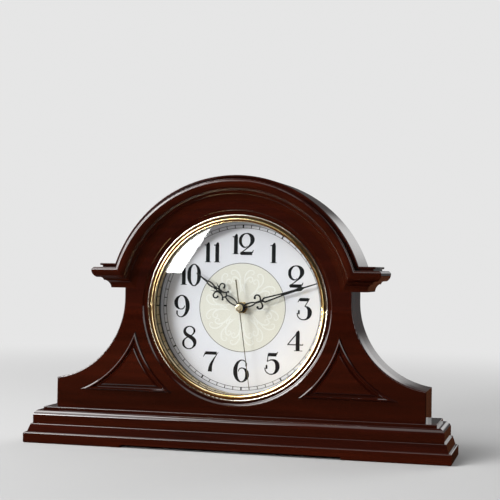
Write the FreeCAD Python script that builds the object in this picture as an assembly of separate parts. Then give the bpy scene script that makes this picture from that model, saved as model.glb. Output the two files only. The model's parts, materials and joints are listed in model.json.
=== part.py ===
import FreeCAD, Part
import math
import os

from FreeCAD import Vector

os.makedirs("parts", exist_ok=True)

# All sizes are in millimetres. The clock faces -Y, X is to the right as seen from the front,
# and Z = 0 is the surface that the clock stands on. Depths are measured back from the front
# edge of the base slab.

# Base: a slab, a sloped step and a thumb moulding, all mitred round both ends
base_width = 440.0
base_depth = 72.4
slab_height = 11.0
slab_round = 1.4
relief_length = 227.0
relief_height = 3.0
step_height = 8.5
step_foot_inset = 3.0
step_head_inset = 5.6
thumb_inset = 7.6
thumb_upright = 7.1
thumb_height = 13.9
thumb_head_inset = 12.0
thumb_bow = 1.5
fillet_inset = 15.7
fillet_height = 2.9
arris_round = 0.7

# Case body: flat face, upright ends and hollow flanks, whose centres stand out from the hood
body_half_width = 192.8
body_depth = 49.4
flank_radius = 86.0
flank_centre_reach = 70.8
flank_centre_z = 152.0
face_panel_thickness = 18.0
case_wall = 9.0
face_arris_round = 1.1

# Dial centre, on which the bezel, the dial and the hood are struck
dial_centre_z = 143.25

# Cornice: the profile that runs along both ears and round the hood, top edge downward
hood_radius = 134.0
ear_top_z = 187.0
lip_height = 2.2
lip_out = 9.1
groove_height = 1.9
groove_out = 7.0
bead_height = 10.4
bead_head_out = 14.4
bead_head_drop = 0.6
bead_nose_out = 16.0
bead_nose_drop = 3.4
bead_foot_out = 11.6
bead_head_bow = 0.6
bead_foot_bow = 1.2
soffit_out = 8.4
step_cove_height = 3.1
step_cove_out = 5.9
step_cove_bow = 0.5
cove_height = 7.6
cove_out = 4.4
cove_bow = 1.1
lip_round = 0.5

# Applied three-cornered mouldings under the dial
corner_flank_gap = 18.0
corner_hood_gap = 24.0
corner_foot_z = 55.4
corner_bead_width = 3.6
corner_bead_height = 2.6
corner_panel_inset = 4.8
corner_panel_slope = 2.0
corner_panel_height = 2.2
bead_shoulder_share = 0.14
bead_crown_share = 0.38
bead_shoulder_height_share = 0.62

# Bezel, glass, sight ring and dial
bezel_radius = 94.5
bezel_clearance = 0.3
bezel_seat_depth = 5.0
bezel_hollow_radius = 99.5
bezel_hollow_depth = 2.4
bezel_hollow_bow = 0.8
bezel_lip_width = 1.7
bezel_lip_height = 3.8
bezel_groove_width = 1.9
bezel_groove_height = 1.9
bezel_band_width = 3.3
bezel_band_height = 4.0
bezel_band_bow = 0.7
bezel_skirt_wall = 2.3
bezel_skirt_length = 1.5
aperture_clearance = 0.3
glass_thickness = 2.0
glass_rise = 6.0
glass_rim = 2.4
gasket_thickness = 1.4
gasket_wall = 1.9
sight_ring_wall = 1.4
spacer_wall = 10.0
spacer_length = 8.0
dial_radius = 97.0
dial_thickness = 0.8
dial_screw_count = 4
dial_screw_circle = 92.6
dial_screw_radius = 1.0
dial_screw_head_radius = 2.2
dial_screw_head_height = 1.3
dial_screw_length = 5.0
screw_clearance = 0.1
screw_slot_width = 0.5
screw_slot_depth = 0.5

# Back panel, door, hinges and catch
back_panel_inset = 2.4
back_panel_thickness = 6.0
panel_clearance = 0.2
door_width = 128.0
door_height = 118.0
door_foot_z = 86.0
door_thickness = 3.2
door_gap = 0.8
door_corner_radius = 3.0
door_rebate = 5.0
finger_notch_radius = 9.0
hinge_height = 16.0
hinge_end_distance = 16.0
hinge_leaf_width = 7.0
hinge_leaf_thickness = 0.6
hinge_barrel_radius = 1.15
hinge_pin_radius = 0.5
hinge_pin_clearance = 0.05
hinge_knuckle_gap = 0.2
hinge_screw_radius = 0.8
hinge_screw_head_radius = 1.5
hinge_screw_head_height = 0.5
hinge_screw_length = 2.2
hinge_screw_pitch = 9.0
catch_width = 14.0
catch_height = 4.0
catch_plate_thickness = 0.8
catch_magnet_thickness = 2.0
catch_gap = 0.1

# Movement housing
washer_thickness = 0.6
washer_radius = 9.0
housing_size = 56.0
housing_depth = 15.2
housing_split = 7.6
housing_wall = 1.2
housing_corner_radius = 4.0
bay_wall_z = -10.6
bay_wall_thickness = 1.0
bay_mouth_margin = 1.3
post_radius = 1.8
post_inset = 3.8
plate_thickness = 0.8
plate_margin = 0.3
plate_depth = 5.6
pivot_radius = 0.6
pivot_clearance = 0.05
pivot_hole_depth = 0.7

# Centre pipes, from the outside in. A stand is a length in front of the dial.
bushing_radius = 4.0
bushing_bore = 2.27
bushing_stand = 4.2
nut_across_flats = 11.0
nut_thickness = 2.0
nut_gap = 0.1
pipe_clearance = 0.07
hour_pipe_radius = 2.2
minute_pipe_radius = 1.3
second_arbor_radius = 0.5
hour_pipe_stand = 7.0
minute_pipe_stand = 9.6
second_arbor_stand = 11.1

# Wheels: tooth counts and modules
cannon_teeth = 10
motion_teeth = 30
motion_pinion_teeth = 8
hour_teeth = 32
knob_teeth = 10
motion_module = 0.6
centre_teeth = 45
third_pinion_teeth = 6
third_teeth = 48
second_pinion_teeth = 6
second_teeth = 40
intermediate_pinion_teeth = 10
intermediate_teeth = 45
rotor_teeth = 6
centre_module = 0.42
second_module = 0.45
rotor_module = 0.36
tooth_addendum_share = 0.72
tooth_dedendum_share = 1.1
tooth_tip_share = 0.17
tooth_root_share = 0.42
hub_wall = 0.7

# Wheels: direction of each arbor from the one before it, in degrees up from +X
motion_direction = 20.0
knob_direction = -25.0
third_direction = 150.0
intermediate_direction = 60.0
rotor_direction = 20.0

# Wheels: depth of each toothed rim behind the housing's front, and its thickness
hour_wheel_depth = 1.7
hour_wheel_thickness = 1.0
motion_pinion_depth = 1.6
motion_wheel_depth = 3.2
motion_wheel_thickness = 0.8
cannon_pinion_thickness = 1.0
centre_wheel_depth = 4.6
centre_wheel_thickness = 0.7
third_pinion_thickness = 1.0
third_wheel_depth = 7.2
third_wheel_thickness = 0.6
second_pinion_thickness = 1.0
second_wheel_depth = 8.6
second_wheel_thickness = 0.6
intermediate_pinion_thickness = 1.0
intermediate_wheel_depth = 10.6
intermediate_wheel_thickness = 0.5
rotor_pinion_thickness = 1.0
rotor_magnet_radius = 3.2
rotor_magnet_depth = 7.8
rotor_magnet_thickness = 2.4

# Setting knob
knob_radius = 5.0
knob_thickness = 1.5
knob_shaft_radius = 1.2
knob_recess_depth = 0.7
knob_recess_gap = 0.6
knob_flutes = 10
knob_flute_radius = 0.8

# Stepping motor, circuit and battery
stator_depth = 8.2
stator_thickness = 0.8
stator_gap = 0.5
stator_margin = 1.4
stator_leg_width = 3.0
stator_left_x = -12.0
stator_bar_low_z = 15.4
stator_head_z = 26.0
coil_z = 23.4
coil_radius = 2.5
bobbin_flange_radius = 2.9
bobbin_flange_thickness = 0.8
bobbin_wall = 0.5
bobbin_gap = 0.4
core_height = 1.0
board_left_x = -26.0
board_right_x = -3.6
board_low_z = -9.4
board_high_z = 14.0
board_depth = 11.8
board_thickness = 0.8
board_hole_radius = 2.0
chip_radius = 3.0
chip_height = 1.2
chip_x = -19.0
chip_z = -3.0
crystal_radius = 1.0
crystal_length = 6.0
crystal_x = -13.0
crystal_z = -6.5
battery_radius = 7.1
battery_length = 48.6
battery_nub_radius = 2.7
battery_nub_length = 1.5
battery_edge_round = 0.8
battery_floor_gap = 0.1
contact_thickness = 0.4
contact_width = 9.0
contact_boss_radius = 2.4

# Hands: angle from twelve o'clock, clockwise as seen from the front. The tables of shares hold
# (along, across, bow of the stroke to the next point) as shares of the hand's length.
hour_hand_angle = 306.0
minute_hand_angle = 72.0
second_hand_angle = 172.0
hand_thickness = 0.4
hand_stroke = 1.15
hand_ball_radius = 0.95
hour_hand_length = 59.0
hour_hand_stand = 5.8
hour_collet_radius = 4.6
hour_collet_thickness = 2.0
hour_oval_shares = (0.070, 0.340, 0.110)
hour_tip_oval_shares = (0.590, 0.772, 0.072)
hour_ring_shares = (0.518, 0.032)
hour_joint_shares = ((0.468, 0.035), (0.574, 0.027))
hour_scroll_shares = ((0.346, 0.083, -0.020), (0.468, 0.0195, -0.018), (0.532, 0.088, -0.0175),
                      (0.490, 0.146, -0.0145), (0.4475, 0.098, 0))
hour_link_shares = ((0.325, 0.004, 0.004), (0.372, 0.054, 0))
hour_spur_shares = ((0.520, 0.040), (0.620, 0.088))
hour_needle_shares = ((0.755, 0.017), (1.0, 0.006))
minute_hand_length = 84.0
minute_hand_stand = 8.4
minute_collet_radius = 4.3
minute_collet_thickness = 2.4
minute_oval_shares = (0.040, 0.203, 0.054)
minute_neck_shares = ((0.190, 0.010), (0.300, 0.0125))
minute_scroll_shares = ((0.269, 0.007, -0.0042), (0.279, 0.0512, -0.0101),
                        (0.246, 0.0857, -0.0101), (0.213, 0.0583, 0))
minute_blade_shares = ((0.286, 0.011), (0.321, 0.031), (0.560, 0.016), (0.725, 0.0125),
                       (0.785, 0.0245), (0.833, 0.007), (1.0, 0.004))
minute_slot_shares = ((0.309, 0.006), (0.329, 0.018), (0.542, 0.003))
second_hand_length = 84.0
second_hand_tail = 29.0
second_hand_stand = 11.1
second_hand_width = 0.9
second_tail_width = 1.5
second_tip_width = 0.6
second_boss_radius = 2.2
cap_radius = 3.9
cap_height = 2.9
cap_round = 1.6

# Cuts run past the faces that they cross by this much
overrun = 4.0

half_turn = 180.0
full_turn = 360.0


# Depths and planes worked out from the sizes above
def depth_y(depth):
    return depth - base_depth / 2


body_face_depth = base_depth - body_depth
face_y = depth_y(body_face_depth)
back_y = depth_y(base_depth)
body_foot_z = slab_height + step_height + thumb_height + fillet_height
cornice_height = lip_height + groove_height + bead_height + step_cove_height + cove_height
ear_foot_z = ear_top_z - cornice_height
bead_top_z = ear_top_z - lip_height - groove_height
bead_foot_z = bead_top_z - bead_height
flank_centre_x = hood_radius + flank_centre_reach
flank_top_x = flank_centre_x - flank_radius
ear_rise = ear_top_z - dial_centre_z
ear_side_x = hood_radius
inner_top_x = flank_top_x - case_wall
arch_inner_radius = math.hypot(inner_top_x, ear_rise)
panel_back_depth = body_face_depth + face_panel_thickness
aperture_radius = bezel_radius - bezel_lip_width - bezel_groove_width
bezel_inner_radius = aperture_radius - bezel_band_width
bezel_seat = body_face_depth + bezel_seat_depth
skirt_back = bezel_seat + bezel_skirt_length
skirt_radius = bezel_inner_radius + bezel_skirt_wall
glass_radius = skirt_radius
gasket_front = skirt_back + glass_thickness
sight_front = gasket_front + gasket_thickness
dial_front = panel_back_depth + spacer_length
dial_back = dial_front + dial_thickness
bushing_front = dial_front - bushing_stand
hour_pipe_front = dial_front - hour_pipe_stand
minute_pipe_front = dial_front - minute_pipe_stand
second_arbor_front = dial_front - second_arbor_stand
hour_hand_back = dial_front - hour_hand_stand
minute_hand_back = dial_front - minute_hand_stand
second_hand_back = dial_front - second_hand_stand
housing_front = dial_back + washer_thickness
housing_back = housing_front + housing_depth
back_panel_back = base_depth - back_panel_inset
door_front = back_panel_back - door_thickness


# Drawing helpers
def line(start, end):
    return Part.makeLine(start, end)


def bowed_edge(place, start, end, bow):
    # The edge between two profile points, bent to the left of its run by the bow
    if bow == 0:
        return line(place(*start), place(*end))
    run = end[0] - start[0]
    rise = end[1] - start[1]
    length = math.hypot(run, rise)
    middle_x = (start[0] + end[0]) / 2 - rise / length * bow
    middle_z = (start[1] + end[1]) / 2 + run / length * bow
    return Part.Arc(place(*start), place(middle_x, middle_z), place(*end)).toShape()


def profile_edges(profile, place):
    # A profile is a list of (across, up, bow of the edge to the next point)
    edges = []
    for here, following in zip(profile, profile[1:]):
        edges.append(bowed_edge(place, here[:2], following[:2], here[2]))
    return edges


def face_from(edges):
    return Part.Face(Part.Wire(Part.sortEdges(edges)[0]))


def outline_face(points, place):
    # A closed outline of (across, up, bow) points
    return face_from(profile_edges(points + points[:1], place))


def on_plane(y):
    return lambda x, z: Vector(x, y, z)


def plate(points, front, thickness):
    # A flat piece with its front at a depth
    y = depth_y(front)
    return outline_face(points, on_plane(y)).extrude(Vector(0, thickness, 0))


def block(low_x, high_x, front, back, low_z, high_z):
    corner = Vector(low_x, depth_y(front), low_z)
    return Part.makeBox(high_x - low_x, back - front, high_z - low_z, corner)


def rod(radius, front, back, x=0.0, z=dial_centre_z):
    return Part.makeCylinder(radius, back - front, Vector(x, depth_y(front), z), Vector(0, 1, 0))


def tube(radius, bore, front, back, x=0.0, z=dial_centre_z):
    outer = rod(radius, front, back, x, z)
    return outer.cut(rod(bore, front - overrun, back + overrun, x, z))


def turned(profile):
    # A ring or disc turned about the dial axis from (radius, depth, bow) points
    def place(radius, depth):
        return Vector(0, depth_y(depth), dial_centre_z - radius)
    face = face_from(profile_edges(profile + profile[:1], place))
    return face.revolve(Vector(0, 0, dial_centre_z), Vector(0, 1, 0), full_turn)


def mirrored(shape):
    return shape.mirror(Vector(0, 0, 0), Vector(1, 0, 0))


def fused(shapes):
    first = shapes[0]
    if len(shapes) == 1:
        return first
    return first.fuse(shapes[1:]).removeSplitter()


def save(name, *solids):
    shape = solids[0] if len(solids) == 1 else Part.makeCompound(list(solids))
    shape.exportStep("parts/" + name + ".step")
    counts.append(len(shape.Solids))
    print(name, len(shape.Solids), "solid(s)", round(shape.Volume, 2), "valid", shape.isValid())


counts = []


# Base mouldings
def moulded_board(profile, low_z, high_z):
    # The profile runs along the front and returns along both ends, mitred at the corners
    half = base_width / 2
    front_x = -half - overrun

    def on_front(out, z):
        return Vector(front_x, depth_y(0) - out, z)

    front_edges = profile_edges(profile, on_front)
    first = on_front(*profile[0][:2])
    last = on_front(*profile[-1][:2])
    high_back = Vector(front_x, back_y, high_z)
    low_back = Vector(front_x, back_y, low_z)
    front_edges += [line(last, high_back), line(high_back, low_back), line(low_back, first)]
    front_run = face_from(front_edges).extrude(Vector(base_width + 2 * overrun, 0, 0))

    side_y = depth_y(0) - overrun

    def on_right(out, z):
        return Vector(half + out, side_y, z)

    def on_left(out, z):
        return Vector(-half - out, side_y, z)

    side_edges = profile_edges(profile, on_right) + profile_edges(profile, on_left)
    side_edges.append(line(on_right(*profile[0][:2]), on_left(*profile[0][:2])))
    side_edges.append(line(on_right(*profile[-1][:2]), on_left(*profile[-1][:2])))
    side_run = face_from(side_edges).extrude(Vector(0, base_depth + 2 * overrun, 0))
    return front_run.common(side_run)


def rounded_corner(radius):
    # Sagitta of a quarter round
    return radius * (1 - math.sqrt(0.5))


def base_slab():
    corner = -rounded_corner(slab_round)
    profile = [
        (-slab_round, 0, corner),
        (0, slab_round, 0),
        (0, slab_height - slab_round, corner),
        (-slab_round, slab_height, 0),
    ]
    slab = moulded_board(profile, 0, slab_height)
    relief = block(-relief_length / 2, relief_length / 2, -overrun, base_depth + overrun,
                   -overrun, relief_height)
    return slab.cut(relief)


def base_step():
    low = slab_height
    high = slab_height + step_height
    profile = [
        (-step_foot_inset, low, 0),
        (-step_head_inset, high - arris_round, -rounded_corner(arris_round)),
        (-step_head_inset - arris_round, high, 0),
    ]
    return moulded_board(profile, low, high)


def base_thumb():
    low = slab_height + step_height
    shoulder = low + thumb_height
    high = shoulder + fillet_height
    profile = [
        (-thumb_inset, low, 0),
        (-thumb_inset, low + thumb_upright, -thumb_bow),
        (-thumb_head_inset, shoulder, 0),
        (-fillet_inset, shoulder, 0),
        (-fillet_inset, high - arris_round, -rounded_corner(arris_round)),
        (-fillet_inset - arris_round, high, 0),
    ]
    return moulded_board(profile, low, high)


# Case body
def circle_point_z(x, centre_x, centre_z, radius):
    return centre_z - math.sqrt(radius ** 2 - (centre_x - x) ** 2)


def flank_bow(x_high, z_high, x_low, z_low, radius):
    chord = math.hypot(x_high - x_low, z_high - z_low)
    return radius - math.sqrt(radius ** 2 - (chord / 2) ** 2)


def half_outline(inset):
    # Right half of the case outline below the ears, from the foot up
    end_x = body_half_width - inset
    radius = flank_radius + inset
    shoulder_z = circle_point_z(end_x, flank_centre_x, flank_centre_z, radius)
    top_x = flank_centre_x - radius
    bow = flank_bow(top_x, flank_centre_z, end_x, shoulder_z, radius)
    return [
        (end_x, body_foot_z, 0),
        (end_x, shoulder_z, bow),
        (top_x, flank_centre_z, 0),
        (top_x, ear_foot_z, 0),
    ]


def case_outline(inset, arch_radius, ear_step):
    # Whole outline: lower body, then the part between the ears, stepped in from it, then the arch
    right = half_outline(inset)
    upper_x = right[-1][0] - ear_step
    if ear_step > 0:
        right.append((upper_x, ear_foot_z, 0))
    spring_z = dial_centre_z + math.sqrt(arch_radius ** 2 - upper_x ** 2)
    right.append((upper_x, spring_z, 0))
    edges = profile_edges(right, on_plane(0))
    edges += [mirrored(edge) for edge in edges]
    crown = Vector(0, 0, dial_centre_z + arch_radius)
    right_spring = Vector(upper_x, 0, spring_z)
    left_spring = Vector(-upper_x, 0, spring_z)
    edges.append(Part.Arc(right_spring, crown, left_spring).toShape())
    foot_x, foot_z = right[0][:2]
    edges.append(line(Vector(-foot_x, 0, foot_z), Vector(foot_x, 0, foot_z)))
    return edges


def front_panel():
    outline = case_outline(0, arch_inner_radius, case_wall)
    face = face_from(outline)
    face.translate(Vector(0, face_y, 0))
    panel = face.extrude(Vector(0, face_panel_thickness, 0))
    exposed = []
    for edge in panel.Edges:
        box = edge.BoundBox
        on_face = abs(box.YMin - face_y) + abs(box.YMax - face_y) < arris_round
        below_ears = box.ZMax < ear_foot_z + arris_round
        above_foot = box.ZMax > body_foot_z + arris_round
        level = box.ZMax - box.ZMin < arris_round
        if on_face and below_ears and above_foot and not level:
            exposed.append(edge)
    panel = panel.makeFillet(face_arris_round, exposed)
    seat_radius = bezel_radius + bezel_clearance
    opening = aperture_radius + aperture_clearance
    cutter = turned([
        (0, body_face_depth - overrun, 0),
        (bezel_hollow_radius, body_face_depth - overrun, 0),
        (bezel_hollow_radius, body_face_depth, -bezel_hollow_bow),
        (seat_radius, body_face_depth + bezel_hollow_depth, 0),
        (seat_radius, bezel_seat, 0),
        (opening, bezel_seat, 0),
        (opening, panel_back_depth + overrun, 0),
        (0, panel_back_depth + overrun, 0),
    ])
    return panel.cut(cutter)


def side_walls():
    # Two hollow-flanked walls behind the face panel, each closed by an upright end
    outer = half_outline(0)
    inner = half_outline(case_wall)
    walls = []
    for sign in (-1, 1):
        def place(x, z, side=sign):
            return Vector(side * x, depth_y(panel_back_depth), z)
        edges = profile_edges(outer, place) + profile_edges(inner, place)
        edges.append(line(place(*outer[0][:2]), place(*inner[0][:2])))
        edges.append(line(place(*outer[-1][:2]), place(*inner[-1][:2])))
        wall = face_from(edges).extrude(Vector(0, base_depth - panel_back_depth, 0))
        walls.append(wall)
    return walls


# Cornice of the ears and the hood
def cornice_profile():
    # From the foot of the cove up to the groove under the lip: (out, height, bow)
    cove_top = ear_foot_z + cove_height
    return [
        (0, ear_foot_z, cove_bow),
        (cove_out, cove_top, 0),
        (step_cove_out, cove_top, step_cove_bow),
        (soffit_out, bead_foot_z, 0),
        (bead_foot_out, bead_foot_z, -bead_foot_bow),
        (bead_nose_out, bead_top_z - bead_nose_drop, -bead_head_bow),
        (bead_head_out, bead_top_z - bead_head_drop, -rounded_corner(bead_head_drop)),
        (bead_head_out - bead_head_drop, bead_top_z, 0),
        (groove_out, bead_top_z, 0),
        (groove_out, bead_top_z + groove_height, 0),
    ]


def lip_profile():
    # Bevelled under its edge and rounded over it
    low = ear_top_z - lip_height
    return [
        (groove_out, low, 0),
        (lip_out - lip_round, low, 0),
        (lip_out, low + lip_round, 0),
        (lip_out, ear_top_z - lip_round, -rounded_corner(lip_round)),
        (lip_out - lip_round, ear_top_z, 0),
    ]


def mitre_point(drop):
    # Where the arched and the level cornice meet, this far below their top edges
    standing = hood_radius - ear_rise
    return math.sqrt(standing * (2 * (hood_radius - drop) - standing)), ear_top_z - drop


def mitre_edges(side, y):
    # The mitre's curve, run on straight past both ends, with the two ends
    arc_points = [Vector(side * x, y, z) for x, z in
                  (mitre_point(0), mitre_point(cornice_height / 2), mitre_point(cornice_height))]
    high = arc_points[0] + Vector(side * overrun, 0, overrun)
    low = arc_points[2] - Vector(side * overrun, 0, overrun)
    edges = [line(high, arc_points[0]), Part.Arc(*arc_points).toShape(), line(arc_points[2], low)]
    return edges, high, low


def hood_room(behind):
    # The space between the hood's two mitres, from the front to this far behind the face
    y = face_y - bead_nose_out - overrun
    depth = bead_nose_out + overrun + behind
    top = dial_centre_z + hood_radius + overrun
    right_edges, right_high, right_low = mitre_edges(1, y)
    left_edges, left_high, left_low = mitre_edges(-1, y)
    corners = [right_high, Vector(right_high.x, y, top), Vector(left_high.x, y, top), left_high]
    edges = [line(a, b) for a, b in zip(corners, corners[1:])]
    edges += right_edges + left_edges + [line(right_low, left_low)]
    return face_from(edges).extrude(Vector(0, depth, 0))


def inside_hood_cutter(side):
    # Everything in front of the face between the centre line and one mitre
    y = face_y - bead_nose_out - overrun
    depth = bead_nose_out + overrun
    edges, high, low = mitre_edges(side, y)
    centre_high = Vector(0, y, high.z)
    centre_low = Vector(0, y, low.z)
    edges += [line(high, centre_high), line(centre_high, centre_low), line(centre_low, low)]
    return face_from(edges).extrude(Vector(0, depth, 0))


def hood_place(out, height):
    # A cornice point swung to the foot of the hood's circle
    radius = hood_radius - (ear_top_z - height)
    return Vector(0, face_y - out, dial_centre_z - radius)


def hood_ring(profile, corners):
    edges = profile_edges(profile, hood_place)
    points = [hood_place(*profile[-1][:2])] + corners + [hood_place(*profile[0][:2])]
    edges += [line(a, b) for a, b in zip(points, points[1:])]
    ring = face_from(edges)
    return ring.revolve(Vector(0, 0, dial_centre_z), Vector(0, 1, 0), full_turn)


def hood_moulding():
    groove_top = ear_top_z - lip_height
    ring = hood_ring(cornice_profile(), [hood_place(0, groove_top)])
    return ring.common(hood_room(overrun))


def arch_top():
    # The bent top board, with the thin lip that runs out over the hood moulding
    groove_top = ear_top_z - lip_height
    inner_height = ear_top_z - (hood_radius - arch_inner_radius)
    corners = [
        hood_place(-body_depth, ear_top_z),
        hood_place(-body_depth, inner_height),
        hood_place(0, inner_height),
        hood_place(0, groove_top),
    ]
    ring = hood_ring(lip_profile(), corners)
    far = hood_radius + overrun
    above = block(-far, far, body_face_depth, base_depth + overrun, ear_top_z,
                  dial_centre_z + far)
    return ring.common(above.fuse(hood_room(0)))


def ears():
    # A solid block at each end of the hood, with the cornice mitred round its outer corner
    profile = cornice_profile() + lip_profile()[1:]
    far_x = ear_side_x + bead_nose_out + overrun

    def on_front(out, z):
        return Vector(0, face_y - out, z)

    front_edges = profile_edges(profile, on_front)
    high_back = Vector(0, back_y, ear_top_z)
    low_back = Vector(0, back_y, ear_foot_z)
    front_edges += [line(on_front(*profile[-1][:2]), high_back), line(high_back, low_back),
                    line(low_back, on_front(*profile[0][:2]))]
    front_run = face_from(front_edges).extrude(Vector(far_x, 0, 0))

    def on_side(out, z):
        return Vector(ear_side_x + out, depth_y(0) - overrun, z)

    side_edges = profile_edges(profile, on_side)
    high_in = Vector(0, depth_y(0) - overrun, ear_top_z)
    low_in = Vector(0, depth_y(0) - overrun, ear_foot_z)
    side_edges += [line(on_side(*profile[-1][:2]), high_in), line(high_in, low_in),
                   line(low_in, on_side(*profile[0][:2]))]
    side_run = face_from(side_edges).extrude(Vector(0, base_depth + 2 * overrun, 0))

    right = front_run.common(side_run)
    right = right.cut(inside_hood_cutter(1))
    inner = block(-overrun, inner_top_x, body_face_depth, base_depth + overrun,
                  ear_foot_z - overrun, ear_top_z + overrun)
    right = right.cut(inner)
    return mirrored(right), right


# Three-cornered mouldings
def circle_crossing(radius_flank, radius_dial):
    # Lower crossing of a circle about the left flank centre with one about the dial centre
    run = flank_centre_x
    rise = dial_centre_z - flank_centre_z
    distance = math.hypot(run, rise)
    along = (radius_flank ** 2 - radius_dial ** 2 + distance ** 2) / (2 * distance)
    across = math.sqrt(radius_flank ** 2 - along ** 2)
    x = -flank_centre_x + (run * along + rise * across) / distance
    z = flank_centre_z + (rise * along - run * across) / distance
    return x, z


def corner_wire(inset, depth, side):
    # Outline of a three-cornered piece, drawn inward by an inset
    flank = flank_radius + corner_flank_gap + inset
    dial = hood_radius - corner_hood_gap + inset
    foot = corner_foot_z + inset
    apex_x, apex_z = circle_crossing(flank, dial)
    outer_x = -flank_centre_x + math.sqrt(flank ** 2 - (flank_centre_z - foot) ** 2)
    inner_x = -math.sqrt(dial ** 2 - (dial_centre_z - foot) ** 2)

    def place(x, z):
        return Vector(-side * x, depth_y(depth), z)

    outer_bow = flank_bow(apex_x, apex_z, outer_x, foot, flank)
    inner_bow = flank_bow(apex_x, apex_z, inner_x, foot, dial)
    edges = [
        bowed_edge(place, (outer_x, foot), (apex_x, apex_z), -outer_bow),
        bowed_edge(place, (apex_x, apex_z), (inner_x, foot), -inner_bow),
        line(place(inner_x, foot), place(outer_x, foot)),
    ]
    return Part.Wire(edges)


def corner_stack(sections, side):
    wires = [corner_wire(inset, depth, side) for inset, depth in sections]
    return Part.makeLoft(wires, True, True)


def corner_bead(side):
    # A mitred bead frame with a crowned section
    width = corner_bead_width
    shoulder = corner_bead_height * bead_shoulder_height_share
    face = body_face_depth
    outer = corner_stack([
        (0, face),
        (width * bead_shoulder_share, face - shoulder),
        (width * bead_crown_share, face - corner_bead_height),
    ], side)
    inner = corner_stack([
        (width, face + overrun),
        (width, face),
        (width * (1 - bead_shoulder_share), face - shoulder),
        (width * (1 - bead_crown_share), face - corner_bead_height),
        (width * (1 - bead_crown_share), face - corner_bead_height - overrun),
    ], side)
    return outer.cut(inner)


def corner_panel(side):
    # A raised panel with sloped edges, inside the bead
    face = body_face_depth
    return corner_stack([
        (corner_panel_inset, face),
        (corner_panel_inset + corner_panel_slope, face - corner_panel_height),
    ], side)


# Bezel, glass and dial
def bezel():
    lip_inner = bezel_radius - bezel_lip_width
    band_outer = lip_inner - bezel_groove_width
    lip_front = bezel_seat - bezel_lip_height
    groove_floor = bezel_seat - bezel_groove_height
    band_front = bezel_seat - bezel_band_height
    half_lip = bezel_lip_width / 2
    crown = band_outer - bezel_band_width / 2
    return turned([
        (bezel_radius, bezel_seat, 0),
        (bezel_radius, lip_front + half_lip, -rounded_corner(half_lip)),
        (bezel_radius - half_lip, lip_front, -rounded_corner(half_lip)),
        (lip_inner, lip_front + half_lip, 0),
        (lip_inner, groove_floor, 0),
        (band_outer, groove_floor, 0),
        (band_outer, band_front + half_lip, -rounded_corner(half_lip)),
        (crown + half_lip / 2, band_front, -bezel_band_bow / 2),
        (bezel_inner_radius, band_front + half_lip, 0),
        (bezel_inner_radius, skirt_back, 0),
        (skirt_radius, skirt_back, 0),
        (skirt_radius, bezel_seat, 0),
    ])


def dome_cap(rim_depth):
    # A solid cap of the dome's sphere, standing forward of this depth
    rim_radius = glass_radius - glass_rim
    sphere_radius = (rim_radius ** 2 + glass_rise ** 2) / (2 * glass_rise)
    centre = Vector(0, depth_y(rim_depth - glass_rise + sphere_radius), dial_centre_z)
    sphere = Part.makeSphere(sphere_radius, centre)
    return sphere.common(rod(glass_radius, rim_depth - glass_rise - overrun, rim_depth))


def dome_glass():
    # A dome of even thickness with a flat rim
    rim_back = skirt_back + glass_thickness
    blank = rod(glass_radius, skirt_back, rim_back).fuse(dome_cap(skirt_back))
    return blank.removeSplitter().cut(dome_cap(rim_back))


def glass_gasket():
    inner = glass_radius - gasket_wall
    return tube(glass_radius, inner, gasket_front, sight_front)


def sight_ring():
    outer = bezel_inner_radius + sight_ring_wall
    return tube(outer, bezel_inner_radius, sight_front, panel_back_depth)


def dial_screw_places():
    step = full_turn / dial_screw_count
    places = []
    for index in range(dial_screw_count):
        angle = math.radians(step * (index + 0.5))
        places.append((dial_screw_circle * math.cos(angle),
                       dial_centre_z + dial_screw_circle * math.sin(angle)))
    return places


def dial_spacer():
    inner = bezel_inner_radius + sight_ring_wall - bezel_clearance
    ring = tube(inner + spacer_wall, inner, panel_back_depth, dial_front)
    for x, z in dial_screw_places():
        hole = rod(dial_screw_radius, dial_back - dial_screw_length, dial_front + overrun, x, z)
        ring = ring.cut(hole)
    return ring


def dial_plate():
    disc = tube(dial_radius, bushing_radius + screw_clearance, dial_front, dial_back)
    for x, z in dial_screw_places():
        hole = rod(dial_screw_radius + screw_clearance, dial_front - overrun,
                   dial_back + overrun, x, z)
        disc = disc.cut(hole)
    return disc


def dial_screws():
    screws = []
    for x, z in dial_screw_places():
        shank = rod(dial_screw_radius, dial_back - dial_screw_length, dial_back, x, z)
        head_back = dial_back + dial_screw_head_height
        head = rod(dial_screw_head_radius, dial_back, head_back, x, z)
        slot = block(x - dial_screw_head_radius, x + dial_screw_head_radius,
                     head_back - screw_slot_depth, head_back + overrun,
                     z - screw_slot_width / 2, z + screw_slot_width / 2)
        screws.append(shank.fuse(head).cut(slot).removeSplitter())
    return screws


# Back panel and door
def rounded_board(low_x, high_x, front, back, low_z, high_z, radius):
    board = block(low_x, high_x, front, back, low_z, high_z)
    corners = [edge for edge in board.Edges if edge.BoundBox.YLength > (back - front) / 2]
    return board.makeFillet(radius, corners)


door_left_x = -door_width / 2
door_right_x = door_width / 2
door_head_z = door_foot_z + door_height
hinge_x = door_right_x + door_gap / 2
hinge_depth = back_panel_back + hinge_barrel_radius + screw_clearance / 2
hinge_places = [door_foot_z + hinge_end_distance,
                door_head_z - hinge_end_distance - hinge_height]
catch_z = door_foot_z + door_height / 2


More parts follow.
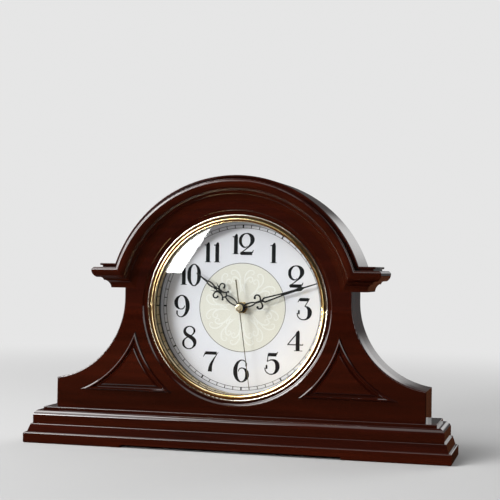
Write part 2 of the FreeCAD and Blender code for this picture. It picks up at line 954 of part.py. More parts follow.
def back_panel():
    outline = case_outline(case_wall + panel_clearance, arch_inner_radius - panel_clearance, 0)
    face = face_from(outline)
    face.translate(Vector(0, depth_y(back_panel_back - back_panel_thickness), 0))
    panel = face.extrude(Vector(0, back_panel_thickness, 0))
    front = back_panel_back - back_panel_thickness
    through = rounded_board(door_left_x + door_rebate, door_right_x - door_rebate,
                            front - overrun, back_panel_back + overrun,
                            door_foot_z + door_rebate, door_head_z - door_rebate,
                            door_corner_radius)
    pocket = rounded_board(door_left_x - door_gap, door_right_x + door_gap,
                           door_front - catch_gap, back_panel_back + overrun,
                           door_foot_z - door_gap, door_head_z + door_gap,
                           door_corner_radius + door_gap)
    notch = rod(finger_notch_radius, door_front - catch_gap, back_panel_back + overrun,
                door_left_x, catch_z)
    magnet = block(door_left_x, door_left_x + catch_height,
                   door_front - catch_gap - catch_magnet_thickness, back_panel_back,
                   catch_z + catch_width, catch_z + 2 * catch_width)
    panel = panel.cut(through).cut(pocket).cut(notch).cut(magnet)
    for x, z in hinge_screw_places(1):
        panel = panel.cut(hinge_screw_hole(x, z))
    return panel


def rear_door():
    door = rounded_board(door_left_x, door_right_x, door_front, back_panel_back,
                         door_foot_z, door_head_z, door_corner_radius)
    notch = rod(finger_notch_radius, back_panel_back - door_thickness / 2,
                back_panel_back + overrun, door_left_x, catch_z)
    plate_pocket = block(door_left_x, door_left_x + catch_height, door_front - overrun,
                         door_front + catch_plate_thickness,
                         catch_z + catch_width, catch_z + 2 * catch_width)
    door = door.cut(notch).cut(plate_pocket)
    for x, z in hinge_screw_places(-1):
        door = door.cut(hinge_screw_hole(x, z))
    return door


def catch_magnet():
    return block(door_left_x, door_left_x + catch_height,
                 door_front - catch_gap - catch_magnet_thickness, door_front - catch_gap,
                 catch_z + catch_width, catch_z + 2 * catch_width)


def catch_plate():
    return block(door_left_x, door_left_x + catch_height, door_front,
                 door_front + catch_plate_thickness,
                 catch_z + catch_width, catch_z + 2 * catch_width)


def hinge_screw_places(side):
    # Two screws in each leaf: side 1 is the panel's leaf, -1 the door's
    places = []
    for low in hinge_places:
        middle = low + hinge_height / 2
        x = hinge_x + side * (hinge_barrel_radius + hinge_leaf_width / 2)
        places.append((x, middle - hinge_screw_pitch / 2))
        places.append((x, middle + hinge_screw_pitch / 2))
    return places


def hinge_screw_hole(x, z):
    return rod(hinge_screw_radius, back_panel_back - hinge_screw_length,
               back_panel_back + overrun, x, z)


def upright_rod(radius, low_z, high_z):
    foot = Vector(hinge_x, depth_y(hinge_depth), low_z)
    return Part.makeCylinder(radius, high_z - low_z, foot, Vector(0, 0, 1))


def hinge_leaves(side, knuckles):
    # Flat leaves on the back of the case, each with its share of the barrel
    leaves = []
    knuckle = hinge_height / 3
    for low in hinge_places:
        reach = hinge_barrel_radius + hinge_leaf_width
        low_x = min(hinge_x, hinge_x + side * reach)
        high_x = max(hinge_x, hinge_x + side * reach)
        leaf = block(low_x, high_x, back_panel_back, back_panel_back + hinge_leaf_thickness,
                     low, low + hinge_height)
        for index in range(3):
            start = low + index * knuckle
            if index in knuckles:
                trim = hinge_knuckle_gap / 2
                low_trim = trim if index > 0 else 0
                high_trim = trim if index < 2 else 0
                leaf = leaf.fuse(upright_rod(hinge_barrel_radius, start + low_trim,
                                             start + knuckle - high_trim))
            else:
                space = hinge_barrel_radius + hinge_knuckle_gap
                leaf = leaf.cut(block(hinge_x - space, hinge_x + space,
                                      back_panel_back - overrun, base_depth + overrun,
                                      start - hinge_knuckle_gap / 2,
                                      start + knuckle + hinge_knuckle_gap / 2))
        bore = hinge_pin_radius if 1 in knuckles else hinge_pin_radius + hinge_pin_clearance
        leaf = leaf.cut(upright_rod(bore, low - overrun, low + hinge_height + overrun))
        leaves.append(leaf.removeSplitter())
    for x, z in hinge_screw_places(side):
        hole = rod(hinge_screw_radius + screw_clearance, back_panel_back - overrun,
                   base_depth + overrun, x, z)
        leaves = [leaf.cut(hole) for leaf in leaves]
    return leaves


def hinge_pins():
    return [upright_rod(hinge_pin_radius, low, low + hinge_height) for low in hinge_places]


def hinge_screws(side):
    screws = []
    for x, z in hinge_screw_places(side):
        leaf_back = back_panel_back + hinge_leaf_thickness
        shank = rod(hinge_screw_radius, back_panel_back - hinge_screw_length, leaf_back, x, z)
        head = rod(hinge_screw_head_radius, leaf_back, leaf_back + hinge_screw_head_height, x, z)
        screws.append(shank.fuse(head).removeSplitter())
    return screws


# Arbor places, as (x, z) from the dial axis
def stepped(start, direction, distance):
    angle = math.radians(direction)
    return start[0] + distance * math.cos(angle), start[1] + distance * math.sin(angle)


def mesh_distance(teeth_a, teeth_b, module):
    return (teeth_a + teeth_b) * module / 2


motion_distance = mesh_distance(cannon_teeth, motion_teeth, motion_module)
hour_module = 2 * motion_distance / (motion_pinion_teeth + hour_teeth)
third_distance = mesh_distance(centre_teeth, third_pinion_teeth, centre_module)
third_module = 2 * third_distance / (third_teeth + second_pinion_teeth)
intermediate_distance = mesh_distance(second_teeth, intermediate_pinion_teeth, second_module)
rotor_distance = mesh_distance(intermediate_teeth, rotor_teeth, rotor_module)
knob_distance = mesh_distance(motion_teeth, knob_teeth, motion_module)
centre = (0.0, 0.0)
motion_place = stepped(centre, motion_direction, motion_distance)
knob_place = stepped(motion_place, knob_direction, knob_distance)
third_place = stepped(centre, third_direction, third_distance)
intermediate_place = stepped(centre, intermediate_direction, intermediate_distance)
rotor_place = stepped(intermediate_place, rotor_direction, rotor_distance)


def meshing_tooth(teeth_a, first_a, teeth_b, direction):
    # Angle of wheel B's first tooth so that its gap faces wheel A's tooth across the mesh
    pitch_a = full_turn / teeth_a
    lead = (direction - first_a) % pitch_a
    return direction + half_turn + lead * teeth_a / teeth_b + half_turn / teeth_b


def toothed(teeth, module, first_tooth, depth, thickness, place):
    # A toothed disc; its depth is behind the housing's front
    pitch_radius = teeth * module / 2
    tip_radius = pitch_radius + tooth_addendum_share * module
    root_radius = pitch_radius - tooth_dedendum_share * module
    pitch_angle = full_turn / teeth
    root_half = pitch_angle * tooth_root_share / 2
    tip_half = pitch_angle * tooth_tip_share / 2
    y = depth_y(housing_front + depth)
    points = []
    for index in range(teeth):
        middle = first_tooth + index * pitch_angle
        for radius, offset in ((root_radius, -root_half), (tip_radius, -tip_half),
                               (tip_radius, tip_half), (root_radius, root_half)):
            angle = math.radians(middle + offset)
            points.append(Vector(place[0] + radius * math.cos(angle), y,
                                 dial_centre_z + place[1] + radius * math.sin(angle)))
    wire = Part.makePolygon(points + points[:1])
    return Part.Face(wire).extrude(Vector(0, thickness, 0))


def arbor(radius, front, back, place):
    # Depths behind the housing's front
    return rod(radius, housing_front + front, housing_front + back, place[0],
               dial_centre_z + place[1])


back_wall_front = housing_depth - housing_wall
arbor_back = back_wall_front + pivot_hole_depth - pivot_clearance
arbor_front = housing_wall - pivot_hole_depth + pivot_clearance
plate_pivot_front = plate_depth + plate_thickness - pivot_hole_depth + pivot_clearance
third_pinion_depth = centre_wheel_depth - (third_pinion_thickness - centre_wheel_thickness) / 2
second_pinion_depth = third_wheel_depth - (second_pinion_thickness - third_wheel_thickness) / 2
intermediate_pinion_depth = second_wheel_depth - (
    intermediate_pinion_thickness - second_wheel_thickness) / 2
rotor_pinion_depth = intermediate_wheel_depth - (
    rotor_pinion_thickness - intermediate_wheel_thickness) / 2
cannon_pinion_depth = motion_wheel_depth - (
    cannon_pinion_thickness - motion_wheel_thickness) / 2
centre_wheel_back = centre_wheel_depth + centre_wheel_thickness

# First tooth of every wheel and pinion, so that each pair is in mesh at rest
cannon_first = motion_direction
motion_first = meshing_tooth(cannon_teeth, cannon_first, motion_teeth, motion_direction)
knob_first = meshing_tooth(motion_teeth, motion_first, knob_teeth, knob_direction)
hour_first = motion_direction
motion_pinion_first = meshing_tooth(hour_teeth, hour_first, motion_pinion_teeth,
                                    motion_direction)
centre_first = third_direction
third_pinion_first = meshing_tooth(centre_teeth, centre_first, third_pinion_teeth,
                                   third_direction)
second_pinion_first = third_direction
third_first = meshing_tooth(second_pinion_teeth, second_pinion_first, third_teeth,
                            third_direction)
second_first = intermediate_direction
intermediate_pinion_first = meshing_tooth(second_teeth, second_first,
                                          intermediate_pinion_teeth, intermediate_direction)
intermediate_first = rotor_direction
rotor_first = meshing_tooth(intermediate_teeth, intermediate_first, rotor_teeth,
                            rotor_direction)


def hour_wheel():
    back = hour_wheel_depth + hour_wheel_thickness
    wheel = toothed(hour_teeth, hour_module, hour_first, hour_wheel_depth,
                    hour_wheel_thickness, centre)
    pipe = rod(hour_pipe_radius, hour_pipe_front, housing_front + back)
    bore = rod(minute_pipe_radius + pipe_clearance, hour_pipe_front - overrun,
               housing_back)
    return wheel.fuse(pipe).cut(bore).removeSplitter()


def cannon_pinion():
    # The minute pipe, with the pinion that drives the hour work
    pinion = toothed(cannon_teeth, motion_module, cannon_first, cannon_pinion_depth,
                     cannon_pinion_thickness, centre)
    pipe = rod(minute_pipe_radius, minute_pipe_front, housing_front + centre_wheel_back)
    bore = rod(second_arbor_radius + pipe_clearance, minute_pipe_front - overrun, housing_back)
    return pinion.fuse(pipe).cut(bore).removeSplitter()


def centre_wheel():
    wheel = toothed(centre_teeth, centre_module, centre_first, centre_wheel_depth,
                    centre_wheel_thickness, centre)
    return wheel.cut(rod(minute_pipe_radius, housing_front, housing_back))


def motion_wheel():
    wheel = toothed(motion_teeth, motion_module, motion_first, motion_wheel_depth,
                    motion_wheel_thickness, motion_place)
    pinion_length = motion_wheel_depth - motion_pinion_depth
    pinion = toothed(motion_pinion_teeth, hour_module, motion_pinion_first,
                     motion_pinion_depth, pinion_length, motion_place)
    bore = arbor(pivot_radius + pivot_clearance, 0, housing_depth, motion_place)
    return wheel.fuse(pinion).cut(bore).removeSplitter()


def third_wheel():
    wheel = toothed(third_teeth, third_module, third_first, third_wheel_depth,
                    third_wheel_thickness, third_place)
    pinion = toothed(third_pinion_teeth, centre_module, third_pinion_first,
                     third_pinion_depth, third_pinion_thickness, third_place)
    shaft = arbor(pivot_radius, arbor_front, arbor_back, third_place)
    return fused([shaft, pinion, wheel])


def second_wheel():
    wheel = toothed(second_teeth, second_module, second_first, second_wheel_depth,
                    second_wheel_thickness, centre)
    pinion = toothed(second_pinion_teeth, third_module, second_pinion_first,
                     second_pinion_depth, second_pinion_thickness, centre)
    shaft = rod(second_arbor_radius, second_arbor_front, housing_front + arbor_back)
    return fused([shaft, pinion, wheel])


def intermediate_wheel():
    wheel = toothed(intermediate_teeth, rotor_module, intermediate_first,
                    intermediate_wheel_depth, intermediate_wheel_thickness, intermediate_place)
    pinion = toothed(intermediate_pinion_teeth, second_module, intermediate_pinion_first,
                     intermediate_pinion_depth, intermediate_pinion_thickness,
                     intermediate_place)
    shaft = arbor(pivot_radius, plate_pivot_front, arbor_back, intermediate_place)
    return fused([shaft, pinion, wheel])


def rotor():
    magnet = arbor(rotor_magnet_radius, rotor_magnet_depth,
                   rotor_magnet_depth + rotor_magnet_thickness, rotor_place)
    pinion = toothed(rotor_teeth, rotor_module, rotor_first, rotor_pinion_depth,
                     rotor_pinion_thickness, rotor_place)
    shaft = arbor(pivot_radius, plate_pivot_front, arbor_back, rotor_place)
    return fused([shaft, magnet, pinion])


def setting_knob():
    pinion = toothed(knob_teeth, motion_module, knob_first, cannon_pinion_depth,
                     cannon_pinion_thickness, knob_place)
    disc_front = housing_depth - knob_recess_depth + pivot_clearance
    shaft = arbor(knob_shaft_radius, cannon_pinion_depth, disc_front, knob_place)
    disc = arbor(knob_radius, disc_front, disc_front + knob_thickness, knob_place)
    for index in range(knob_flutes):
        angle = index * full_turn / knob_flutes
        flute = stepped(knob_place, angle, knob_radius + knob_flute_radius / 2)
        disc = disc.cut(arbor(knob_flute_radius, disc_front - overrun,
                              disc_front + knob_thickness + overrun, flute))
    return fused([pinion, shaft, disc])


# Movement housing
def housing_box(front, back, inset):
    half = housing_size / 2 - inset
    return rounded_board(-half, half, housing_front + front, housing_front + back,
                         dial_centre_z - half, dial_centre_z + half,
                         housing_corner_radius - inset)


def post_places():
    reach = housing_size / 2 - post_inset
    return [(-reach, reach), (reach, reach), (reach, bay_wall_z + post_inset),
            (-reach, bay_wall_z + post_inset)]


def bay_wall(front, back):
    half = housing_size / 2 - housing_wall
    low_z = dial_centre_z + bay_wall_z - bay_wall_thickness
    return block(-half, half, housing_front + front, housing_front + back, low_z,
                 low_z + bay_wall_thickness)


def movement_front():
    shell = housing_box(0, housing_split, 0).cut(
        housing_box(housing_wall, housing_split + overrun, housing_wall))
    posts = [arbor(post_radius, housing_wall, plate_depth, place) for place in post_places()]
    stud = arbor(pivot_radius, housing_wall, centre_wheel_depth - hub_wall / 2, motion_place)
    shell = shell.fuse(posts + [stud, bay_wall(housing_wall, housing_split)])
    shell = shell.removeSplitter()
    shell = shell.cut(rod(bushing_radius, housing_front - overrun,
                          housing_front + housing_wall + overrun))
    pivot = arbor(pivot_radius + pivot_clearance, housing_wall - pivot_hole_depth,
                  housing_wall, third_place)
    return shell.cut(pivot)


def movement_back():
    shell = housing_box(housing_split, housing_depth, 0).cut(
        housing_box(housing_split - overrun, back_wall_front, housing_wall))
    shell = shell.fuse(bay_wall(housing_split, back_wall_front)).removeSplitter()
    half = housing_size / 2 - bay_mouth_margin
    mouth = block(-half, half, housing_front + housing_split, housing_back + overrun,
                  dial_centre_z - half, dial_centre_z + bay_wall_z - bay_wall_thickness)
    recess = arbor(knob_radius + knob_recess_gap, housing_depth - knob_recess_depth,
                   housing_depth + overrun, knob_place)
    hole = arbor(knob_shaft_radius + pivot_clearance, housing_split,
                 housing_depth + overrun, knob_place)
    shell = shell.cut(mouth).cut(recess).cut(hole)
    for place in (third_place, intermediate_place, rotor_place):
        shell = shell.cut(arbor(pivot_radius + pivot_clearance, back_wall_front,
                                back_wall_front + pivot_hole_depth, place))
    return shell.cut(arbor(second_arbor_radius + pivot_clearance, back_wall_front,
                           back_wall_front + pivot_hole_depth, centre))


def middle_plate():
    half = housing_size / 2 - housing_wall - plate_margin
    corner = housing_corner_radius - housing_wall
    board = rounded_board(-half, half, housing_front + plate_depth,
                          housing_front + plate_depth + plate_thickness,
                          dial_centre_z + bay_wall_z + plate_margin, dial_centre_z + half,
                          corner)
    through = plate_depth - overrun
    behind = plate_depth + overrun
    board = board.cut(arbor(second_arbor_radius + pivot_clearance, through, behind, centre))
    board = board.cut(arbor(pivot_radius + pivot_clearance, through, behind, third_place))
    board = board.cut(arbor(knob_shaft_radius + pivot_clearance, through, behind, knob_place))
    blind = plate_depth + plate_thickness - pivot_hole_depth
    for place in (intermediate_place, rotor_place):
        board = board.cut(arbor(pivot_radius + pivot_clearance, blind, behind, place))
    return board


def centre_bushing():
    return tube(bushing_radius, bushing_bore, bushing_front, housing_front + housing_wall)


def rubber_washer():
    return tube(washer_radius, bushing_radius + screw_clearance, dial_back, housing_front)


def dial_nut():
    corner_radius = nut_across_flats / math.sqrt(3)
    front = dial_front - nut_gap - nut_thickness
    points = []
    for index in range(6):
        angle = math.radians(index * full_turn / 6)
        points.append((corner_radius * math.cos(angle),
                       dial_centre_z + corner_radius * math.sin(angle), 0))
    nut = plate(points, front, nut_thickness + nut_gap)
    return nut.cut(rod(bushing_radius, front - overrun, dial_front + overrun))


def stator():
    # The plate that leads the coil's field round the rotor, and the coil's core behind it
    hole = rotor_magnet_radius + stator_gap
    pole = hole + stator_margin
    left = rotor_place[0] - pole
    right = rotor_place[0] + pole
    low = rotor_place[1] - pole
    high = rotor_place[1] + pole
    leg = stator_leg_width
    points = [
        (stator_left_x, stator_bar_low_z), (left, stator_bar_low_z), (left, low),
        (right, low), (right, stator_head_z), (right - leg, stator_head_z),
        (right - leg, high), (stator_left_x + leg, high),
        (stator_left_x + leg, stator_head_z), (stator_left_x, stator_head_z),
    ]
    lifted = [(x, dial_centre_z + z, 0) for x, z in points]
    sheet = plate(lifted, housing_front + stator_depth, stator_thickness)
    sheet = sheet.cut(arbor(hole, stator_depth - overrun, stator_depth + overrun, rotor_place))
    core = block(stator_left_x, right, housing_front + stator_depth + stator_thickness,
                 housing_front + stator_depth + 2 * stator_thickness,
                 dial_centre_z + coil_z - core_height / 2,
                 dial_centre_z + coil_z + core_height / 2)
    return fused([sheet, core])


def coil_axis_rod(radius, low_x, high_x):
    depth = stator_depth + 1.5 * stator_thickness
    start = Vector(low_x, depth_y(housing_front + depth), dial_centre_z + coil_z)
    return Part.makeCylinder(radius, high_x - low_x, start, Vector(1, 0, 0))


def coil_ends():
    right = rotor_place[0] + rotor_magnet_radius + stator_gap + stator_margin
    return (stator_left_x + stator_leg_width + bobbin_gap,
            right - stator_leg_width - bobbin_gap)


def coil_bobbin():
    low, high = coil_ends()
    core_radius = math.hypot(core_height, stator_thickness) / 2 + pivot_clearance
    spool = coil_axis_rod(core_radius + bobbin_wall, low, high)
    flanges = [coil_axis_rod(bobbin_flange_radius, low, low + bobbin_flange_thickness),
               coil_axis_rod(bobbin_flange_radius, high - bobbin_flange_thickness, high)]
    spool = fused([spool] + flanges)
    return spool.cut(coil_axis_rod(core_radius, low - overrun, high + overrun))


def coil_winding():
    low, high = coil_ends()
    core_radius = math.hypot(core_height, stator_thickness) / 2 + pivot_clearance
    low += bobbin_flange_thickness
    high -= bobbin_flange_thickness
    winding = coil_axis_rod(coil_radius, low, high)
    return winding.cut(coil_axis_rod(core_radius + bobbin_wall, low - overrun, high + overrun))


def circuit_board():
    board = block(board_left_x, board_right_x, housing_front + board_depth,
                  housing_front + board_depth + board_thickness,
                  dial_centre_z + board_low_z, dial_centre_z + board_high_z)
    return board.cut(arbor(board_hole_radius, board_depth - overrun, board_depth + overrun,
                           third_place))


def clock_chip():
    return arbor(chip_radius, board_depth - chip_height, board_depth, (chip_x, chip_z))


def quartz_crystal():
    start = Vector(crystal_x, depth_y(housing_front + board_depth - crystal_radius),
                   dial_centre_z + crystal_z)
    return Part.makeCylinder(crystal_radius, crystal_length, start, Vector(1, 0, 0))


battery_depth = housing_wall + battery_floor_gap + battery_radius
battery_z = -housing_size / 2 + housing_wall + battery_floor_gap + battery_radius
battery_left_x = -(battery_length + battery_nub_length) / 2
battery_right_x = battery_left_x + battery_length


def battery_rod(radius, low_x, high_x):
    start = Vector(low_x, depth_y(housing_front + battery_depth), dial_centre_z + battery_z)
    return Part.makeCylinder(radius, high_x - low_x, start, Vector(1, 0, 0))


def battery():
    can = battery_rod(battery_radius, battery_left_x, battery_right_x)
    rims = [edge for edge in can.Edges if edge.BoundBox.XLength < battery_edge_round]
    can = can.makeFillet(battery_edge_round, rims)
    nub = battery_rod(battery_nub_radius, battery_right_x, battery_right_x + battery_nub_length)
    return fused([can, nub])


def battery_contacts():
    # A plate at each end of the bay, with a boss that presses on the battery
    wall_x = housing_size / 2 - housing_wall
    contacts = []
    for side, end_x in ((-1, battery_left_x), (1, battery_right_x + battery_nub_length)):
        low_x = min(side * wall_x, side * (wall_x - contact_thickness))
        sheet = block(low_x, low_x + contact_thickness,
                      housing_front + battery_depth - contact_width / 2,
                      housing_front + battery_depth + contact_width / 2,
                      dial_centre_z + battery_z - contact_width / 2,
                      dial_centre_z + battery_z + contact_width / 2)
        boss_low = min(end_x, side * (wall_x - contact_thickness))
        boss_high = max(end_x, side * (wall_x - contact_thickness))
        contacts.append(fused([sheet, battery_rod(contact_boss_radius, boss_low, boss_high)]))
    return contacts


# Hands: drawn along their own length, then turned to their angle
def hand_place(angle, back):
    turn = math.radians(angle)
    y = depth_y(back)

    def place(along, across):
        return Vector(along * math.sin(turn) + across * math.cos(turn), y,
                      dial_centre_z + along * math.cos(turn) - across * math.sin(turn))
    return place


def oval(place, start, end, width):
    middle = (start + end) / 2
    curve = Part.Ellipse(place(end, 0), place(middle, width / 2), place(middle, 0))
    return Part.Face(Part.Wire(curve.toShape()))


def open_oval(place, length, shares):
    # An oval drawn in a stroke: start, end and width as shares of the length
    start, end, width = [share * length for share in shares]
    inner = oval(place, start + hand_stroke, end - hand_stroke, width - 2 * hand_stroke)
    return oval(place, start, end, width).cut(inner)


def blade(place, length, shares):
    # A symmetrical outline through (along, half width) points
    points = [place(along * length, half * length) for along, half in shares]
    points += [place(along * length, -half * length) for along, half in reversed(shares)]
    return Part.Face(Part.makePolygon(points + points[:1]))


def dot(place, along, across, radius):
    return Part.Face(Part.Wire(Part.makeCircle(radius, place(along, across), Vector(0, 1, 0))))


def bent_stroke(place, start, end, bow, width):
    # A stroke of even width along an arc that bends to the left of its run by the bow
    run = end[0] - start[0]
    rise = end[1] - start[1]
    chord = math.hypot(run, rise)
    radius = (chord ** 2 / 4 + bow ** 2) / (2 * bow)
    centre_along = (start[0] + end[0]) / 2 - rise / chord * (bow - radius)
    centre_across = (start[1] + end[1]) / 2 + run / chord * (bow - radius)
    middle = (centre_along - rise / chord * radius, centre_across + run / chord * radius)
    rims = []
    for size in (1 + width / 2 / abs(radius), 1 - width / 2 / abs(radius)):
        rims.append([place(centre_along + (point[0] - centre_along) * size,
                           centre_across + (point[1] - centre_across) * size)
                     for point in (start, middle, end)])
    outer, inner = rims
    return face_from([Part.Arc(*outer).toShape(), Part.Arc(*inner).toShape(),
                      line(outer[0], inner[0]), line(outer[2], inner[2])])


def scroll(place, length, shares, side):
    # A curling stroke through a table of shares, with rounded joints
    points = [(along * length, side * across * length, side * bow * length)
              for along, across, bow in shares]
    faces = []
    for here, following in zip(points, points[1:]):
        faces.append(bent_stroke(place, here[:2], following[:2], here[2], hand_stroke))
    faces += [dot(place, along, across, hand_stroke / 2) for along, across, bow in points]
    return faces


def spur(place, length, shares, side):
    # A short pointed leaf
    (foot, foot_across), (tip, tip_across) = shares
    run = tip - foot
    rise = tip_across - foot_across
    half = hand_stroke / 2 / math.hypot(run, rise)
    corners = [(foot * length - rise * half, foot_across * length + run * half),
               (tip * length, tip_across * length),
               (foot * length + rise * half, foot_across * length - run * half)]
    points = [place(along, side * across) for along, across in corners]
    return Part.Face(Part.makePolygon(points + points[:1]))


def cut_hand(faces, collet_radius, collet_thickness, bore, back):
    plate_run = Vector(0, -hand_thickness, 0)
    pieces = [face.extrude(plate_run) for face in faces]
    middle = back - hand_thickness / 2
    collet = rod(collet_radius, middle - collet_thickness / 2, middle + collet_thickness / 2)
    hand = fused([collet] + pieces)
    return hand.cut(rod(bore, middle - collet_thickness, middle + collet_thickness))


def hour_hand():
    place = hand_place(hour_hand_angle, hour_hand_back)
    length = hour_hand_length
    ring_along, ring_radius = [share * length for share in hour_ring_shares]
    ring = dot(place, ring_along, 0, ring_radius)
    faces = [
        open_oval(place, length, hour_oval_shares),
        ring.cut(dot(place, ring_along, 0, ring_radius - hand_stroke)),
        open_oval(place, length, hour_tip_oval_shares),
        blade(place, length, hour_needle_shares),
    ]
    faces += [dot(place, along * length, 0, radius * length)
              for along, radius in hour_joint_shares]
    for side in (-1, 1):
        faces += scroll(place, length, hour_scroll_shares, side)
        faces += scroll(place, length, hour_link_shares, side)
        faces.append(spur(place, length, hour_spur_shares, side))
        for along, across, bow in (hour_scroll_shares[0], hour_scroll_shares[-1]):
            faces.append(dot(place, along * length, side * across * length, hand_ball_radius))
    return cut_hand(faces, hour_collet_radius, hour_collet_thickness, hour_pipe_radius,
                    hour_hand_back)


def minute_hand():
    place = hand_place(minute_hand_angle, minute_hand_back)
    length = minute_hand_length
    faces = [
        open_oval(place, length, minute_oval_shares),
        blade(place, length, minute_neck_shares),
        blade(place, length, minute_blade_shares).cut(blade(place, length, minute_slot_shares)),
    ]
    for side in (-1, 1):
        faces += scroll(place, length, minute_scroll_shares, side)
        along, across, bow = minute_scroll_shares[-1]
        faces.append(dot(place, along * length, side * across * length, hand_ball_radius))
    return cut_hand(faces, minute_collet_radius, minute_collet_thickness,
                    minute_pipe_radius, minute_hand_back)


def taper(place, start, start_width, end, end_width):
    corners = [(start, -start_width / 2), (end, -end_width / 2),
               (end, end_width / 2), (start, start_width / 2)]
    points = [place(*corner) for corner in corners]
    return Part.Face(Part.makePolygon(points + points[:1]))


def second_hand():
    place = hand_place(second_hand_angle, second_hand_back)
    faces = [
        taper(place, 0, second_hand_width, second_hand_length, second_tip_width),
        taper(place, 0, second_hand_width, -second_hand_tail, second_tail_width),
    ]
    plate_run = Vector(0, -hand_thickness, 0)
    pieces = [face.extrude(plate_run) for face in faces]
    front = second_hand_back - hand_thickness
    boss_back = (second_hand_back + minute_pipe_front) / 2
    boss = rod(second_boss_radius, front, boss_back)
    hand = fused([boss] + pieces)
    return hand.cut(rod(second_arbor_radius, second_arbor_front, boss_back + overrun))


def hub_cap():
    back = second_hand_back - hand_thickness
    cap = rod(cap_radius, back - cap_height, back)
    rim = [edge for edge in cap.Edges
           if edge.BoundBox.YMax < depth_y(back - cap_height / 2) and edge.BoundBox.YLength < cap_round]
    return cap.makeFillet(cap_round, rim)


def main():
    left_wall, right_wall = side_walls()
    left_ear, right_ear = ears()
    save("base_slab", base_slab())
    save("base_step", base_step())
    save("base_thumb", base_thumb())
    save("front_panel", front_panel())
    save("left_side_wall", left_wall)
    save("right_side_wall", right_wall)
    save("arch_top", arch_top())
    save("hood_moulding", hood_moulding())
    save("left_ear", left_ear)
    save("right_ear", right_ear)
    save("left_corner_bead", corner_bead(-1))
    save("right_corner_bead", corner_bead(1))
    save("left_corner_panel", corner_panel(-1))
    save("right_corner_panel", corner_panel(1))
    save("bezel", bezel())
    save("dome_glass", dome_glass())
    save("glass_gasket", glass_gasket())
    save("sight_ring", sight_ring())
    save("dial_spacer", dial_spacer())
    save("dial_plate", dial_plate())
    save("dial_screws", *dial_screws())
    save("back_panel", back_panel())
    save("rear_door", rear_door())
    save("catch_magnet", catch_magnet())
    save("catch_plate", catch_plate())
    save("hinge_frame_leaves", *hinge_leaves(1, (0, 2)))
    save("hinge_door_leaves", *hinge_leaves(-1, (1,)))
    save("hinge_pins", *hinge_pins())
    save("frame_hinge_screws", *hinge_screws(1))
    save("door_hinge_screws", *hinge_screws(-1))
    save("movement_front", movement_front())
    save("movement_back", movement_back())
    save("middle_plate", middle_plate())
    save("centre_bushing", centre_bushing())
    save("rubber_washer", rubber_washer())
    save("dial_nut", dial_nut())
    save("stator", stator())
    save("coil_bobbin", coil_bobbin())
    save("coil_winding", coil_winding())
    save("circuit_board", circuit_board())
    save("clock_chip", clock_chip())
    save("quartz_crystal", quartz_crystal())
    save("battery", battery())
    save("battery_contacts", *battery_contacts())
    save("hour_wheel", hour_wheel())
    save("cannon_pinion", cannon_pinion())
    save("centre_wheel", centre_wheel())
    save("motion_wheel", motion_wheel())
    save("third_wheel", third_wheel())
    save("second_wheel", second_wheel())
    save("intermediate_wheel", intermediate_wheel())
    save("rotor", rotor())
    save("setting_knob", setting_knob())
    save("hour_hand", hour_hand())
    save("minute_hand", minute_hand())
    save("second_hand", second_hand())
    save("hub_cap", hub_cap())
    print(len(counts), "nodes,", sum(counts), "solids")


main()
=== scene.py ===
import bmesh
import bpy
import json
import math
from mathutils import Matrix, Vector


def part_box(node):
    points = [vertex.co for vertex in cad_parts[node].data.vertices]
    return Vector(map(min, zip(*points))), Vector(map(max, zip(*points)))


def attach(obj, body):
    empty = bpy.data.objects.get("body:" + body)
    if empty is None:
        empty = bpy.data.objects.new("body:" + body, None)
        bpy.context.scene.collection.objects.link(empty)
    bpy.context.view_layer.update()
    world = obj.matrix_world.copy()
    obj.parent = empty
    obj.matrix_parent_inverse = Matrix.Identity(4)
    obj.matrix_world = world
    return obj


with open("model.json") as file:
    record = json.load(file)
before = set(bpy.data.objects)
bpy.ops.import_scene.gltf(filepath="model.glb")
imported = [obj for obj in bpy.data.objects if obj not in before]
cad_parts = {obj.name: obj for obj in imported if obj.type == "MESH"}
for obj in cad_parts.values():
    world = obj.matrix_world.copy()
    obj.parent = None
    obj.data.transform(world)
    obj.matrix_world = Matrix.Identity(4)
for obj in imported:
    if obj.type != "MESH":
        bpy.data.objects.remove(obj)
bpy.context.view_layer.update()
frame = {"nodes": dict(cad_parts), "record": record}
print("frame loaded:", len(frame["nodes"]), "parts")

mm = 0.001
hours = 12
minutes = 60
dialLow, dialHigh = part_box("dial_plate")
dialFace = dialLow.y
dialCentre = Vector((0, dialFace, (dialLow.z + dialHigh.z) / 2))


def newObject(name, data):
    made = bpy.data.objects.new(name, data)
    bpy.context.scene.collection.objects.link(made)
    return made


# Camera, at the angle of the photograph. It looks straight down until it is tipped level
camera = {
    "place": (0.32504, -1.18044, 0.18348),
    "azimuth": 14.906,
    "elevation": -0.886,
    "level": 90,
    "roll": 0.866,
    "lens": 86.397,
    "sensor": 36.0,
}


def makeCamera():
    data = bpy.data.cameras.new("camera")
    data.lens = camera["lens"]
    data.sensor_width = camera["sensor"]
    holder = newObject("camera", data)
    turn = Matrix.Rotation(math.radians(camera["azimuth"]), 3, "Z")
    tilt = Matrix.Rotation(math.radians(camera["level"] - camera["elevation"]), 3, "X")
    roll = Matrix.Rotation(math.radians(camera["roll"]), 3, "Z")
    holder.matrix_world = Matrix.Translation(camera["place"]) @ (turn @ tilt @ roll).to_4x4()
    bpy.context.scene.camera = holder


makeCamera()
print("camera ready")

# The Mix node's colour sockets go by number, since their names repeat
colourMix = {"factor": 0, "first": 6, "second": 7, "result": 2}


